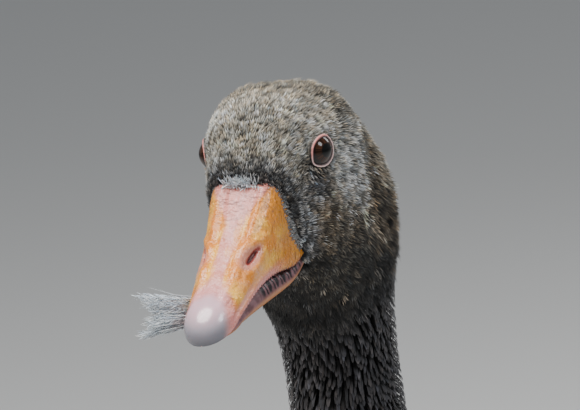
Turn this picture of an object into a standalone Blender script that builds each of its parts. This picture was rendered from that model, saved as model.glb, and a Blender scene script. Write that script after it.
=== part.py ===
"""A life-size domestic goose, standing at rest, as a set of closed solids.

The bird faces -Y, its left side is +X and +Z is up. The floor is Z = 0 under its soles, and the origin is on
the floor below the middle of its length. The feathered body is one loft: each ring of it spans from a point on
the bird's back line to a point on its belly line, and the nodes of flesh are lengths of that loft. Sizes are in
millimetres where a name ends in _MM or a table says so, and the finished meshes are in metres.
"""

import math

import bmesh
import bpy
import numpy as np

MM = 0.001

# ---------------------------------------------------------------- driving dimensions, in millimetres
EYE_AHEAD = 235.0  # how far the eyes are ahead of the origin
EYE_HEIGHT = 690.0
HEAD_PITCH = math.radians(18.1)  # the bill points this far below level
LENGTH_SHIFT = 4.8  # moves the whole bird forward, so that the origin is below its middle
GAP = 0.35  # between a piece and the neighbour that is cut to receive it
SEAM = 0.4  # between two lengths of the body's loft

EYE_RADIUS = 8.1
EYE_PLACE = (-2.4, 21.9, 1.3)  # ahead, to the side and above, in the head's own frame

HIP_SIDE = 60.0  # from the mid-plane to each leg
HEEL_HEIGHT = 106.0
ANKLE_HEIGHT = 15.0
ANKLE_AHEAD = 8.0
TOE_OUT = math.radians(9.0)

RING_POINTS = 28  # round the body
WING_ACROSS = 8  # steps across the folded wing


# ---------------------------------------------------------------- the bird's own frame
def in_head(ahead, up):
    """A point of the head's mid-plane, from its own frame at the eyes to (ahead, height) in the bird's frame."""
    c, s = math.cos(HEAD_PITCH), math.sin(HEAD_PITCH)
    return EYE_AHEAD + c * ahead + s * up, EYE_HEIGHT - s * ahead + c * up


def from_eye(ahead, up):
    """A point given from the eyes along level and upright axes."""
    return EYE_AHEAD + ahead, EYE_HEIGHT + up


def to_world(side, ahead, height):
    """Arrays or numbers in the bird's frame, in millimetres, as world points in metres."""
    side, ahead, height = np.broadcast_arrays(side, ahead, height)
    return np.stack([side, -(ahead + LENGTH_SHIFT), height], axis=-1).astype(float) * MM


def head_to_world(ahead, side, up):
    c, s = math.cos(HEAD_PITCH), math.sin(HEAD_PITCH)
    return to_world(side, EYE_AHEAD + c * ahead + s * up, EYE_HEIGHT - s * ahead + c * up)


# Each ring: name, point on the back line, point on the belly line, half width, squareness (2 is an ellipse),
# and how much wider it is towards the back than towards the belly.
BODY_RINGS = [
    ("face", in_head(29.3, 2.0), from_eye(9, -45), 16.6, 3.4, 0.00),
    ("forehead", in_head(24, 10.5), from_eye(3, -50), 20.4, 2.9, 0.03),
    ("lores", in_head(13.5, 17.9), from_eye(-4, -55), 22.8, 2.4, 0.05),
    ("eyes", in_head(0.5, 23.4), from_eye(-12, -61), 27.1, 2.5, 0.09),
    ("crown", in_head(-14.5, 23.3), from_eye(-19, -68), 30.6, 2.5, 0.15),
    ("occiput", in_head(-33, 18.6), from_eye(-26, -76), 33.2, 2.8, 0.19),
    ("nape", in_head(-46.4, 8.0), from_eye(-32, -85), 33.2, 2.35, 0.15),
    ("hind_cheek", from_eye(-65.6, -3), from_eye(-38, -95), 34.0, 2.25, 0.21),
    ("throat", from_eye(-77, -34), from_eye(-41, -108), 29.0, 2.2, 0.13),
    ("neck_upper", from_eye(-83, -80), from_eye(-39.5, -122), 25.8, 2.0, 0.05),
    ("neck_high", from_eye(-90, -128), from_eye(-39.5, -152), 26.0, 2.0, 0.0),
    ("neck_mid", from_eye(-98, -186), from_eye(-37, -196), 29.5, 2.0, 0.0),
    ("neck_low", from_eye(-106, -230), from_eye(-27, -238), 38.0, 2.0, 0.0),
    ("neck_base", (120, 424), (229, 412), 54.0, 2.0, 0.0),
    ("shoulder", (99, 403), (249, 358), 78.0, 2.0, 0.0),
    ("breast", (70, 393), (257, 292), 97.0, 2.05, 0.0),
    ("keel", (35, 383), (235, 217), 108.0, 2.1, 0.0),
    ("ribs", (-10, 371), (172, 156), 112.5, 2.15, 0.0),
    ("belly", (-60, 357), (80, 127), 113.0, 2.15, 0.0),
    ("paunch", (-112, 342), (-25, 121), 107.0, 2.1, 0.0),
    ("rump", (-165, 323), (-120, 144), 90.0, 2.1, 0.0),
    ("vent", (-210, 302), (-190, 195), 67.0, 2.1, 0.0),
    ("tail_root", (-250, 282), (-243, 240), 52.0, 2.2, 0.0),
    ("tail_mid", (-290, 266), (-288, 246), 60.0, 2.5, 0.0),
    ("tail_tip", (-330, 252), (-330, 246), 57.0, 2.8, 0.0),
]
RING_AT = {ring[0]: index for index, ring in enumerate(BODY_RINGS)}
TAIL_FAN_ARC = 26.0  # how far the fan's corners lie ahead of its middle

# The stretches of the loft that are nodes: name, first ring, last ring, rings to build, colour.
BODY_NODES = [
    ("head", "face", RING_AT["throat"] - 0.25, 15, (0.20, 0.18, 0.155)),
    ("neck_upper", None, RING_AT["neck_high"] + 0.35, 5, (0.16, 0.145, 0.13)),
    ("neck_lower", None, RING_AT["neck_base"] - 0.15, 5, (0.20, 0.185, 0.165)),
    ("trunk", None, RING_AT["tail_root"] - 0.1, 16, (0.34, 0.31, 0.28)),
    ("tail", None, RING_AT["tail_tip"], 5, (0.42, 0.39, 0.36)),
]

# The folded wing lies on the loft. Its sections: ring that it crosses, upper and lower edge in degrees round
# from the back line, and thickness over the body.
WING_SECTIONS = [
    (14.35, 50, 78, 3.0),
    (14.9, 32, 97, 10.0),
    (16.2, 21, 100, 13.0),
    (17.8, 17, 97, 14.0),
    (19.4, 14, 88, 13.0),
    (20.9, 11, 76, 11.0),
    (22.3, 9, 66, 8.5),
    (23.4, 10, 48, 5.0),
    (23.75, 16, 32, 2.4),
]
WING_SINK = 6.0  # how deep the wing's root side is let into the body
WING_RUN_MM = 430.0  # about how long the sections' run is
WING_SPLIT = 0.66  # the share of the sections' run where the flight feathers' bundle begins

# Bill sections in the head's frame: ahead, height of the ridge, height of the biting edge, half width, squareness.
UPPER_BILL = [
    (12, 5.5, -36.5, 17.4, 5.6),
    (28, 1.9, -36.5, 17.3, 5.2),
    (42, -5.2, -33.6, 16.3, 3.8),
    (58, -11.8, -30.3, 14.9, 2.9),
    (74, -17.0, -29.8, 13.3, 2.4),
    (86, -20.0, -31.0, 12.0, 2.2),
]
UPPER_BILL_TIP = 99.8
LOWER_BILL = [
    (14, -36.9, -44.6, 14.4, 2.4),
    (30, -36.8, -44.2, 14.7, 2.4),
    (48, -33.0, -40.8, 13.6, 2.3),
    (66, -30.7, -37.4, 11.8, 2.2),
    (80, -30.9, -35.6, 9.9, 2.2),
]
LOWER_BILL_TIP = 89.5
BILL_TAPER = 0.07  # how much narrower the upper bill is at its edge than at its ridge
NAIL_PLACE, NAIL_RADII = (98.5, 0.0, -25.0), (14.5, 9.6, 15.0)
NOSTRIL_PLACE, NOSTRIL_RADII = (57.5, 11.6, -16.2), (5.0, 3.2, 1.9)

# Leg sections: side, ahead, height, half depth fore and aft, half width.
THIGH = [
    (54, 26, 214, 30, 20),
    (57, 18, 180, 31, 21),
    (HIP_SIDE - 1, 4, 145, 23, 17),
    (HIP_SIDE, -8, 120, 14, 12),
    (HIP_SIDE, -12, HEEL_HEIGHT, 9.5, 8.6),
]
SHANK = [
    (HIP_SIDE, -12.3, HEEL_HEIGHT - 0.4, 9.6, 8.4),
    (HIP_SIDE, -10.5, 94, 9.4, 8.0),
    (HIP_SIDE + 0.6, -5, 78, 7.6, 6.2),
    (HIP_SIDE + 1.2, 1, 50, 7.0, 5.7),
    (HIP_SIDE + 1.8, 5.5, 27, 7.4, 6.4),
    (HIP_SIDE + 2.0, ANKLE_AHEAD, ANKLE_HEIGHT + 0.4, 8.0, 7.4),
]
TOES = [("inner", math.radians(-25.0), 64.0), ("middle", 0.0, 86.0), ("outer", math.radians(23.0), 78.0)]
TOE_HALF_WIDTH = 4.4
WEB_THICKNESS = 2.4
WEB_SCALLOP = 0.17  # how far the web's edge is drawn in between two toes, as a share of their length
HEEL_PAD_RADIUS = 9.5
CLAW_LENGTH, CLAW_RADIUS = 8.0, 2.5


# ---------------------------------------------------------------- curves and rings
def smooth_through(values, at):
    """The C2 cubic through rows of values at whole-number places, read at the places in the array at."""
    values = np.asarray(values, float)
    at = np.asarray(at, float)
    count = len(values)
    system = np.eye(count) * 4
    system[0, 0] = system[-1, -1] = 2
    near = np.arange(count - 1)
    system[near, near + 1] = system[near + 1, near] = 1
    right = np.zeros_like(values)
    right[1:-1] = 3 * (values[2:] - values[:-2])
    right[0], right[-1] = 3 * (values[1] - values[0]), 3 * (values[-1] - values[-2])
    slope = np.linalg.solve(system, right)
    k = np.clip(at.astype(int), 0, count - 2)
    u = (np.clip(at, 0, count - 1) - k)[..., None]
    start, end = values[k], values[k + 1]
    rise = end - start
    bend_in, bend_out = slope[k] - rise, rise - slope[k + 1]
    return start + u * rise + u * (1 - u) * ((1 - u) * bend_in + u * bend_out)


BODY_TABLE = np.array([[*back, *front, *shape] for _, back, front, *shape in BODY_RINGS], float)


def signed_power(value, power):
    return np.sign(value) * np.abs(value) ** power


def body_point(ring, around):
    """A point of the body's outer surface: ring is a place among BODY_RINGS, and around turns from 0 at the back
    through the left side to pi at the belly. Each ring is a superellipse between its back and belly points."""
    row = smooth_through(BODY_TABLE, ring)
    back, front = row[..., 0:2], row[..., 2:4]
    half_width, squareness, egg = row[..., 4], row[..., 5], row[..., 6]
    across = signed_power(np.sin(around), 2 / squareness)
    along = signed_power(np.cos(around), 2 / squareness)
    middle = (back + front) / 2 + (back - front) / 2 * along[..., None]
    side = half_width * across * (1 + egg * np.cos(around))
    fan = np.clip((ring - RING_AT["tail_root"]) / (RING_AT["tail_tip"] - RING_AT["tail_root"]), 0, 1)
    ahead = middle[..., 0] + TAIL_FAN_ARC * fan * (side / half_width) ** 2
    return to_world(side, ahead, middle[..., 1])


def body_normal(ring, around):
    """The outward unit normal of the body's surface, by central differences."""
    step = 1e-3
    along = body_point(ring + step, around) - body_point(ring - step, around)
    across = body_point(ring, around + step) - body_point(ring, around - step)
    normal = np.cross(across, along)
    return normal / np.linalg.norm(normal, axis=-1, keepdims=True)


def ellipse_rings(sections, points, side_sign=1, rings=None):
    """Level ellipses through leg sections, smoothed along the leg."""
    table = np.array(sections, float)
    place = np.linspace(0, len(table) - 1, rings or len(table))
    row = smooth_through(table, place)[:, None, :]
    turn = np.linspace(0, 2 * math.pi, points, endpoint=False)[None, :]
    side = row[..., 0] + row[..., 4] * np.sin(turn)
    ahead = row[..., 1] + row[..., 3] * np.cos(turn)
    return to_world(side * side_sign, ahead, row[..., 2] + 0 * turn)


# ---------------------------------------------------------------- objects and materials
def clear_scene():
    for obj in list(bpy.data.objects):
        bpy.data.objects.remove(obj)


def new_collection(name):
    collection = bpy.data.collections.new(name)
    bpy.context.scene.collection.children.link(collection)
    return collection


def material(name, colour, roughness, metallic=0.0):
    made = bpy.data.materials.get(name)
    if made is None:
        made = bpy.data.materials.new(name)
        made.use_nodes = True
        shader = made.node_tree.nodes["Principled BSDF"]
        shader.inputs["Base Color"].default_value = (*colour, 1.0)
        shader.inputs["Roughness"].default_value = roughness
        shader.inputs["Metallic"].default_value = metallic
    return made


def object_from_bmesh(bm, name, collection, finish):
    bm.normal_update()
    bmesh.ops.recalc_face_normals(bm, faces=bm.faces)
    mesh = bpy.data.meshes.new(name)
    bm.to_mesh(mesh)
    bm.free()
    mesh.shade_smooth()
    mesh.set_sharp_from_angle(angle=math.radians(40))
    obj = bpy.data.objects.new(name, mesh)
    collection.objects.link(obj)
    if finish is not None:
        mesh.materials.append(finish)
    return obj


def loft(rings, name, collection, finish=None):
    """A closed solid skinned over rings of equal point counts, with a flat cap at each end."""
    bm = bmesh.new()
    made = [[bm.verts.new(point) for point in ring] for ring in rings]
    count = len(made[0])
    for first, second in zip(made, made[1:]):
        for i in range(count):
            j = (i + 1) % count
            bm.faces.new((first[i], first[j], second[j]))
            bm.faces.new((first[i], second[j], second[i]))
    bm.faces.new(made[0])
    bm.faces.new(made[-1])
    return object_from_bmesh(bm, name, collection, finish)


def ellipsoid(place, radii, name, collection, finish=None, segments=20):
    """An ellipsoid in the head's frame: place and radii run ahead, to the side and up."""
    bm = bmesh.new()
    bmesh.ops.create_uvsphere(bm, u_segments=segments, v_segments=segments * 3 // 5, radius=1.0)
    for vert in bm.verts:
        side, ahead, up = vert.co
        vert.co = head_to_world(
            place[0] + radii[0] * ahead, place[1] + radii[1] * side, place[2] + radii[2] * up
        )
    return object_from_bmesh(bm, name, collection, finish)


def as_cutter(obj):
    obj.hide_render = True
    obj.display_type = "WIRE"
    return obj


def grown_cutter(obj, collection, gap=GAP):
    """A copy of a solid with each point moved out along its normal, to cut the room that the solid sits in."""
    bm = bmesh.new()
    bm.from_mesh(obj.data)
    bm.normal_update()
    for vert in bm.verts:
        vert.co += vert.normal * gap * MM
    return as_cutter(object_from_bmesh(bm, obj.name + "_room", collection, None))


def boolean(obj, cutter, operation="DIFFERENCE"):
    modifier = obj.modifiers.new(operation.title() + "_" + cutter.name, "BOOLEAN")
    modifier.operation = operation
    modifier.solver = "EXACT"
    modifier.object = cutter


# ---------------------------------------------------------------- the sub-parts
def build_body(parts):
    """Head, neck, trunk and tail: lengths of one loft, with a thin seam between each two."""
    around = np.linspace(0, 2 * math.pi, RING_POINTS, endpoint=False)[None, :]
    made, start = {}, 0.0
    for name, _, end, count, colour in BODY_NODES:
        ring = np.linspace(start, end, count)[:, None] + 0 * around
        finish = material("feathers_" + name, colour, 0.85)
        made[name] = loft(body_point(ring, around + 0 * ring), name, parts, finish)
        here = smooth_through(BODY_TABLE, np.array([end, end + 0.01]))
        moved = min(
            np.linalg.norm(here[1, 0:2] - here[0, 0:2]), np.linalg.norm(here[1, 2:4] - here[0, 2:4])
        )
        start = end + 0.01 * SEAM / max(moved, 1e-6)
    return made


def bill_sections(table, tip, rings, narrow, droop):
    """Sections along half a bill: the table's, then a rounded tip where the widths fall as a quarter ellipse.
    Returns the rows ahead, ridge, edge, half width and squareness."""
    table = np.array(table, float)
    run = smooth_through(table, np.linspace(0, len(table) - 1, rings))
    last = run[-1]
    turn = np.linspace(0, math.pi / 2, 6)[1:]
    shrink = np.maximum(np.cos(turn), 0.04)
    end = np.repeat(last[None, :], len(turn), axis=0)
    end[:, 0] = last[0] + (tip - last[0]) * np.sin(turn)
    end[:, 2] = last[2] - droop * np.sin(turn)
    end[:, 1] = end[:, 2] + (last[1] - last[2]) * shrink**0.8
    end[:, 3] = last[3] * shrink**narrow
    return np.concatenate([run, end])


def bill_rings(rows, arch_points, base_points):
    """One ring for each row: an arch from edge to edge over the ridge, and a level base."""
    turn = np.linspace(0, math.pi, arch_points)[None, :]
    ahead, ridge, edge, half, square = (rows[:, i : i + 1] for i in range(5))
    rise = signed_power(np.sin(turn), 2 / square)
    side = half * signed_power(np.cos(turn), 2 / square) * (1 - BILL_TAPER * (1 - rise))
    up = edge + (ridge - edge) * rise
    base = np.linspace(-1, 1, base_points)[None, 1:-1]
    side = np.concatenate([side, half * (1 - BILL_TAPER) * base], axis=1)
    up = np.concatenate([up, edge + 0 * base], axis=1)
    return head_to_world(ahead + 0 * side, side, up)


def build_bill(parts, cutters, head):
    horn = material("bill_horn", (0.75, 0.40, 0.16), 0.42)
    upper = loft(bill_rings(bill_sections(UPPER_BILL, UPPER_BILL_TIP, 8, 0.75, 1.5), 15, 6), "bill_upper", parts, horn)
    lower_rows = bill_sections(LOWER_BILL, LOWER_BILL_TIP, 6, 0.8, 0.6)
    lower = loft(bill_rings(lower_rows, 13, 6), "bill_lower", parts, horn)
    nail_finish = material("bill_nail", (0.62, 0.50, 0.50), 0.35)
    nail_zone = as_cutter(ellipsoid(NAIL_PLACE, NAIL_RADII, "nail_zone", cutters, segments=14))
    nail = upper.copy()
    nail.data = upper.data.copy()
    nail.name = "bill_nail"
    nail.data.materials.clear()
    nail.data.materials.append(nail_finish)
    parts.objects.link(nail)
    boolean(nail, nail_zone, "INTERSECT")
    for sunk in (upper, lower):
        boolean(head, grown_cutter(sunk, cutters))
    boolean(upper, grown_cutter(nail_zone, cutters))
    for sign, word in ((1, "left"), (-1, "right")):
        place = (NOSTRIL_PLACE[0], sign * NOSTRIL_PLACE[1], NOSTRIL_PLACE[2])
        nostril = ellipsoid(place, NOSTRIL_RADII, "nostril_" + word, cutters, segments=10)
        boolean(upper, as_cutter(nostril))


def build_eyes(parts, cutters, head):
    finish = material("eye", (0.03, 0.015, 0.01), 0.08)
    radii = (EYE_RADIUS,) * 3
    for sign, word in ((1, "left"), (-1, "right")):
        place = (EYE_PLACE[0], sign * EYE_PLACE[1], EYE_PLACE[2])
        eye = ellipsoid(place, radii, "eye_" + word, parts, finish, segments=14)
        boolean(head, grown_cutter(eye, cutters))


def wing_rings(first, last, count, sign):
    """Closed sections of the folded wing between two shares of its run: out over the wing from the upper edge to
    the lower one, and back through the body below it."""
    table = np.array(WING_SECTIONS, float)
    row = smooth_through(table, np.linspace(first, last, count) * (len(table) - 1))[:, None, :]
    share = np.linspace(0, 1, WING_ACROSS)[None, :]
    top, low = np.radians(row[..., 1]), np.radians(row[..., 2])
    around = top + (low - top) * share
    ring = row[..., 0] + 0 * around
    surface, normal = body_point(ring, around), body_normal(ring, around)
    bulge = (4 * share * (1 - share)) ** 0.4
    lift = (0.8 + (row[..., 3] - 0.8) * bulge) * MM
    outer = surface + normal * lift[..., None]
    sink = np.minimum(WING_SINK, 0.6 * row[..., 3] + 0.8) * MM + 0 * share
    inner = surface - normal * sink[..., None]
    rings = np.concatenate([outer, inner[:, ::-1]], axis=1)
    rings[..., 0] *= sign
    return rings


def build_wings(parts, cutters, body):
    covert = material("wing_coverts", (0.30, 0.28, 0.26), 0.8)
    quill = material("wing_quills", (0.12, 0.105, 0.095), 0.6)
    for sign, word in ((1, "left"), (-1, "right")):
        start = WING_SPLIT + 2 * SEAM / WING_RUN_MM
        fore, aft = wing_rings(0, WING_SPLIT, 12, sign), wing_rings(start, 1, 7, sign)
        whole = loft(np.concatenate([fore, aft]), "wing_whole_" + word, cutters)
        room = grown_cutter(whole, cutters)
        as_cutter(whole)
        for name in ("trunk", "tail"):
            boolean(body[name], room)
        loft(fore, "wing_" + word, parts, covert)
        loft(aft, "primaries_" + word, parts, quill)


def foot_outline(turn):
    """The foot's radius from the ankle at each angle: toe tips, drawn-in web edges between them, and a round pad
    behind. Angles run from ahead towards the outer toe."""
    angles = np.array([toe[1] for toe in TOES])
    lengths = np.array([toe[2] for toe in TOES])
    span = np.clip(turn, angles[0], angles[-1])
    reach = np.interp(span, angles, lengths)
    between = np.clip((span - angles[0]) / (angles[1] - angles[0]), 0, 1) % 1.0
    beyond = np.clip((span - angles[1]) / (angles[2] - angles[1]), 0, 1) % 1.0
    share = np.where(span < angles[1], between, beyond)
    reach = reach * (1 - WEB_SCALLOP * np.sin(math.pi * share) ** 0.8)
    outside = np.abs(turn - span)
    toe_side = TOE_HALF_WIDTH / np.maximum(np.sin(np.minimum(outside, math.pi / 2)), 1e-6)
    return np.maximum(HEEL_PAD_RADIUS, np.minimum(reach, toe_side))


def foot_height(radius, turn):
    """The top of the foot over the floor: a thin web, raised along each toe and up to the ankle."""
    height = np.full(np.broadcast(radius, turn).shape, WEB_THICKNESS)
    for _, angle, length in TOES:
        off = radius * np.sin(np.clip(turn - angle, -math.pi / 2, math.pi / 2))
        crest = 9.0 - 3.2 * np.clip(radius / length, 0, 1)
        knuckle = 0.7 * np.cos(radius / length * 5 * math.pi) ** 2
        height = np.maximum(height, (crest + knuckle) * np.exp(-((off / TOE_HALF_WIDTH) ** 2)))
    ankle = ANKLE_HEIGHT * np.exp(-((radius / 13.0) ** 2))
    return np.maximum(height, ankle)


def build_foot(word, sign, parts, finish):
    """A webbed foot as a dome of rings round the ankle over a level sole."""
    lead = TOES[0][1] - math.radians(4)
    ahead = np.linspace(lead, TOES[-1][1] + math.radians(4), 21)
    behind = np.linspace(ahead[-1], 2 * math.pi + lead, 11)[1:-1]
    turn = np.concatenate([ahead, behind])
    turn = np.where(turn > math.pi, turn - 2 * math.pi, turn)[None, :]
    outline = foot_outline(turn)
    share = np.array([0.12, 0.26, 0.45, 0.7, 0.92, 1.0])[:, None]
    radius = share * outline
    height = foot_height(radius, turn)
    height[-1] = np.minimum(height[-1], WEB_THICKNESS * 0.5)
    height[-2] = np.minimum(height[-2], WEB_THICKNESS * 1.9)
    radius = np.concatenate([radius, outline])
    height = np.concatenate([height, 0 * outline])
    yaw = turn + TOE_OUT
    side = HIP_SIDE + 2.0 + radius * np.sin(yaw)
    forward = ANKLE_AHEAD + radius * np.cos(yaw)
    return loft(to_world(side * sign, forward, height), "foot_" + word, parts, finish)


def claw_rings(place, heading, sign, length, radius, drop):
    """A claw: rings that narrow along a heading and dip by drop at the point."""
    share = np.linspace(0, 1, 5)[:, None]
    turn = np.linspace(0, 2 * math.pi, 8, endpoint=False)[None, :]
    girth = radius * np.sqrt(np.maximum(1 - share, 0.03))
    off = girth * np.cos(turn)
    run = length * share
    side = place[0] + run * math.sin(heading) + off * math.cos(heading)
    ahead = place[1] + run * math.cos(heading) - off * math.sin(heading)
    up = place[2] - drop * share**2 + girth * np.sin(turn)
    return to_world(side * sign, ahead, up)


def build_leg(word, sign, parts, cutters, trunk):
    feathered = material("feathers_thigh", (0.42, 0.39, 0.35), 0.85)
    scaled = material("leg_skin", (0.72, 0.36, 0.20), 0.5)
    horn = material("claw_horn", (0.10, 0.085, 0.08), 0.4)
    thigh = loft(ellipse_rings(THIGH, 16, sign, 7), "thigh_" + word, parts, feathered)
    boolean(trunk, grown_cutter(thigh, cutters))
    loft(ellipse_rings(SHANK, 12, sign, 8), "shank_" + word, parts, scaled)
    build_foot(word, sign, parts, scaled)
    for name, angle, length in TOES:
        heading = angle + TOE_OUT
        reach = length + 0.5
        place = (
            HIP_SIDE + 2.0 + reach * math.sin(heading),
            ANKLE_AHEAD + reach * math.cos(heading),
            CLAW_RADIUS + 0.3,
        )
        rings = claw_rings(place, heading, sign, CLAW_LENGTH, CLAW_RADIUS, CLAW_RADIUS * 0.7)
        loft(rings, f"claw_{name}_{word}", parts, horn)
    behind = math.pi - 0.35
    reach = HEEL_PAD_RADIUS + 0.5
    root = (HIP_SIDE + 2.0 + reach * math.sin(behind), ANKLE_AHEAD + reach * math.cos(behind), 8.5)
    loft(claw_rings(root, behind, sign, 15.0, 3.6, 4.0), "hind_toe_" + word, parts, scaled)


def main():
    clear_scene()
    parts = new_collection("domestic_goose")
    cutters = new_collection("cutters")
    body = build_body(parts)
    build_bill(parts, cutters, body["head"])
    build_eyes(parts, cutters, body["head"])
    build_wings(parts, cutters, body)
    for sign, word in ((1, "left"), (-1, "right")):
        build_leg(word, sign, parts, cutters, body["trunk"])


main()
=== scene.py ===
"""Dresses a life-size domestic goose: skin, feather coat, bill, eyes, legs and feet, with a plain stage.

The bird faces -Y with its left side at +X and the floor at Z = 0. Sizes in the tables are millimetres in
the bird's own frame (side, ahead, height), and to_world turns them into metres. Every new piece is a surface
worked out with numpy as a function of two parameters.
"""

import math

import bpy
import numpy as np
from mathutils import Matrix, Vector


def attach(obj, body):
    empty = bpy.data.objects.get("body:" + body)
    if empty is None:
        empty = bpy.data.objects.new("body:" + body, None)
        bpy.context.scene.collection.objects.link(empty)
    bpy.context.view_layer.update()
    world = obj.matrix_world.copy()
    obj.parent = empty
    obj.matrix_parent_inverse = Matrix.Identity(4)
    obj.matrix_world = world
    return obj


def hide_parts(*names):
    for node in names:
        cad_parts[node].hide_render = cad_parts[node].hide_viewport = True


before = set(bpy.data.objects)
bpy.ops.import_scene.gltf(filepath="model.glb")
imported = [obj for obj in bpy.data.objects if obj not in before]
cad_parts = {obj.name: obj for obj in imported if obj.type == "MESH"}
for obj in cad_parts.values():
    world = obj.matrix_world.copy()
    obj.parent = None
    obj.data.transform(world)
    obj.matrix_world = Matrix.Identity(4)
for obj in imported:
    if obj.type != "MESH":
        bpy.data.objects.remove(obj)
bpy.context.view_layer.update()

bl_info = {
    "name": "Domestic Goose",
    "version": (1, 0, 0),
    "blender": (4, 5, 0),
    "location": "3D View > Sidebar > Goose",
    "description": "Builds the skin, feathers, bill, eyes, legs and stage of a life-size domestic goose",
    "category": "Add Mesh",
}

MM = 0.001
TAU = 2 * math.pi
WHOLE_TURN = (-math.pi, math.pi)
SIDES = (("left", 1), ("right", -1))

# ---------------------------------------------------------------- the bird's frame and its sizes
EYE_AHEAD, EYE_HEIGHT, LENGTH_SHIFT = 235.0, 690.0, 4.8
HEAD_PITCH = math.radians(18.1)
HEAD_COS, HEAD_SIN = math.cos(HEAD_PITCH), math.sin(HEAD_PITCH)
EYE_RADIUS, EYE_PLACE = 8.1, (-2.4, 21.9, 1.3)  # the place is ahead, side, up in the head's frame
EYE_LOOK = (0.30, 0.94, 0.13)
LID_LONG, LID_SHORT = math.radians(47), math.radians(41.5)  # half openings, seen from the eye's centre
LID_TILT = math.radians(-24)  # the front corner of the opening lies lower than the hind one
HIP_SIDE, HEEL_HEIGHT, ANKLE_HEIGHT, ANKLE_AHEAD = 60.0, 106.0, 15.0, 8.0
FOOT_SIDE = HIP_SIDE + 2.0
TOE_OUT = math.radians(9.0)


def in_head(ahead, up):
    """A place in the head's own frame at the eyes, turned by its pitch into the bird's (ahead, height)."""
    return EYE_AHEAD + HEAD_COS * ahead + HEAD_SIN * up, EYE_HEIGHT - HEAD_SIN * ahead + HEAD_COS * up


def from_eye(ahead, up):
    """A point given from the eyes along level and upright axes."""
    return EYE_AHEAD + ahead, EYE_HEIGHT + up


# Rings of the body: back point, belly point, half width, squareness, widening towards the back.
BODY_RINGS = [
    (in_head(29.3, 2.0), from_eye(9, -45), 16.6, 3.4, 0.00),
    (in_head(24, 10.5), from_eye(3, -50), 20.4, 2.9, 0.03),
    (in_head(13.5, 17.9), from_eye(-4, -55), 22.8, 2.4, 0.05),
    (in_head(0.5, 23.4), from_eye(-12, -61), 27.1, 2.5, 0.09),
    (in_head(-14.5, 23.3), from_eye(-19, -68), 30.6, 2.5, 0.15),
    (in_head(-33, 18.6), from_eye(-26, -76), 33.2, 2.8, 0.19),
    (in_head(-46.4, 8.0), from_eye(-32, -85), 33.2, 2.35, 0.15),
    (from_eye(-65.6, -3), from_eye(-38, -95), 34.0, 2.25, 0.21),
    (from_eye(-77, -34), from_eye(-41, -108), 29.0, 2.2, 0.13),
    (from_eye(-83, -80), from_eye(-39.5, -122), 25.8, 2.0, 0.05),
    (from_eye(-90, -128), from_eye(-39.5, -152), 26.0, 2.0, 0.0),
    (from_eye(-98, -186), from_eye(-37, -196), 29.5, 2.0, 0.0),
    (from_eye(-106, -230), from_eye(-27, -238), 38.0, 2.0, 0.0),
    ((120, 424), (229, 412), 54.0, 2.0, 0.0),
    ((99, 403), (249, 358), 78.0, 2.0, 0.0),
    ((70, 393), (257, 292), 97.0, 2.05, 0.0),
    ((35, 383), (235, 217), 108.0, 2.1, 0.0),
    ((-10, 371), (172, 156), 112.5, 2.15, 0.0),
    ((-60, 357), (80, 127), 113.0, 2.15, 0.0),
    ((-112, 342), (-25, 121), 107.0, 2.1, 0.0),
    ((-165, 323), (-120, 144), 90.0, 2.1, 0.0),
    ((-210, 302), (-190, 195), 67.0, 2.1, 0.0),
    ((-250, 282), (-243, 240), 52.0, 2.2, 0.0),
    ((-290, 266), (-288, 246), 60.0, 2.5, 0.0),
    ((-330, 252), (-330, 246), 57.0, 2.8, 0.0),
]
BODY_TABLE = np.array([[*back, *front, *shape] for back, front, *shape in BODY_RINGS], float)
EYES, HIND_CHEEK, THROAT, NECK_HIGH, NECK_MID, NECK_BASE = 3, 7, 8, 10, 11, 13
SHOULDER, KEEL, RIBS = 14, 16, 17
BELLY, PAUNCH, RUMP, VENT, TAIL_ROOT, TAIL_MID, TAIL_TIP = range(18, 25)
TAIL_FAN_ARC = 26.0

# How deep the skin lies below the feather tips, ring by ring, in millimetres.
COAT_DEPTH = [
    1.5, 1.7, 1.9, 2.1, 2.2, 2.4, 2.8, 3.2, 3.4, 3.8, 4.2, 4.8, 5.6,
    6.6, 8.0, 9.0, 9.5, 9.5, 9.5, 9.0, 8.0, 7.0, 5.0, 3.5, 2.0,
]

# The folded wing: ring crossed, upper and lower edge in degrees from the back line, thickness over the body.
WING_SECTIONS = [
    (14.35, 50, 78, 3.0),
    (14.9, 32, 97, 10.0),
    (16.2, 21, 100, 13.0),
    (17.8, 17, 97, 14.0),
    (19.4, 14, 88, 13.0),
    (20.9, 11, 76, 11.0),
    (22.3, 9, 66, 8.5),
    (23.4, 10, 48, 5.0),
    (23.75, 16, 32, 2.4),
]

# Bill sections in the head's frame: ahead, ridge, biting edge, half width, squareness.
UPPER_BILL = [
    (12, 5.5, -36.5, 17.4, 5.6),
    (28, 1.9, -36.5, 17.3, 5.2),
    (42, -5.2, -31.8, 16.3, 3.8),
    (58, -11.8, -28.2, 14.9, 2.9),
    (74, -17.0, -28.9, 13.3, 2.4),
    (86, -20.0, -31.0, 12.0, 2.2),
]
LOWER_BILL = [
    (14, -36.2, -45.4, 14.6, 2.4),
    (30, -35.4, -46.0, 15.2, 2.5),
    (48, -29.4, -43.2, 14.6, 2.5),
    (66, -27.6, -39.4, 12.8, 2.4),
    (80, -29.4, -36.8, 10.6, 2.3),
]
UPPER_BILL_TIP, LOWER_BILL_TIP = 101.2, 89.5
BILL_TAPER = 0.07  # the share by which the upper bill is narrower at its edge
NAIL_PLACE, NAIL_RADII = (99.5, 0.0, -26.0), (18.5, 11.0, 17.0)
NOSTRIL_AHEAD, NOSTRIL_UP, NOSTRIL_SLOPE = 57.5, -15.8, math.radians(-9)
TEETH_PITCH, COMB_PITCH = 2.1, 3.4

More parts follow.
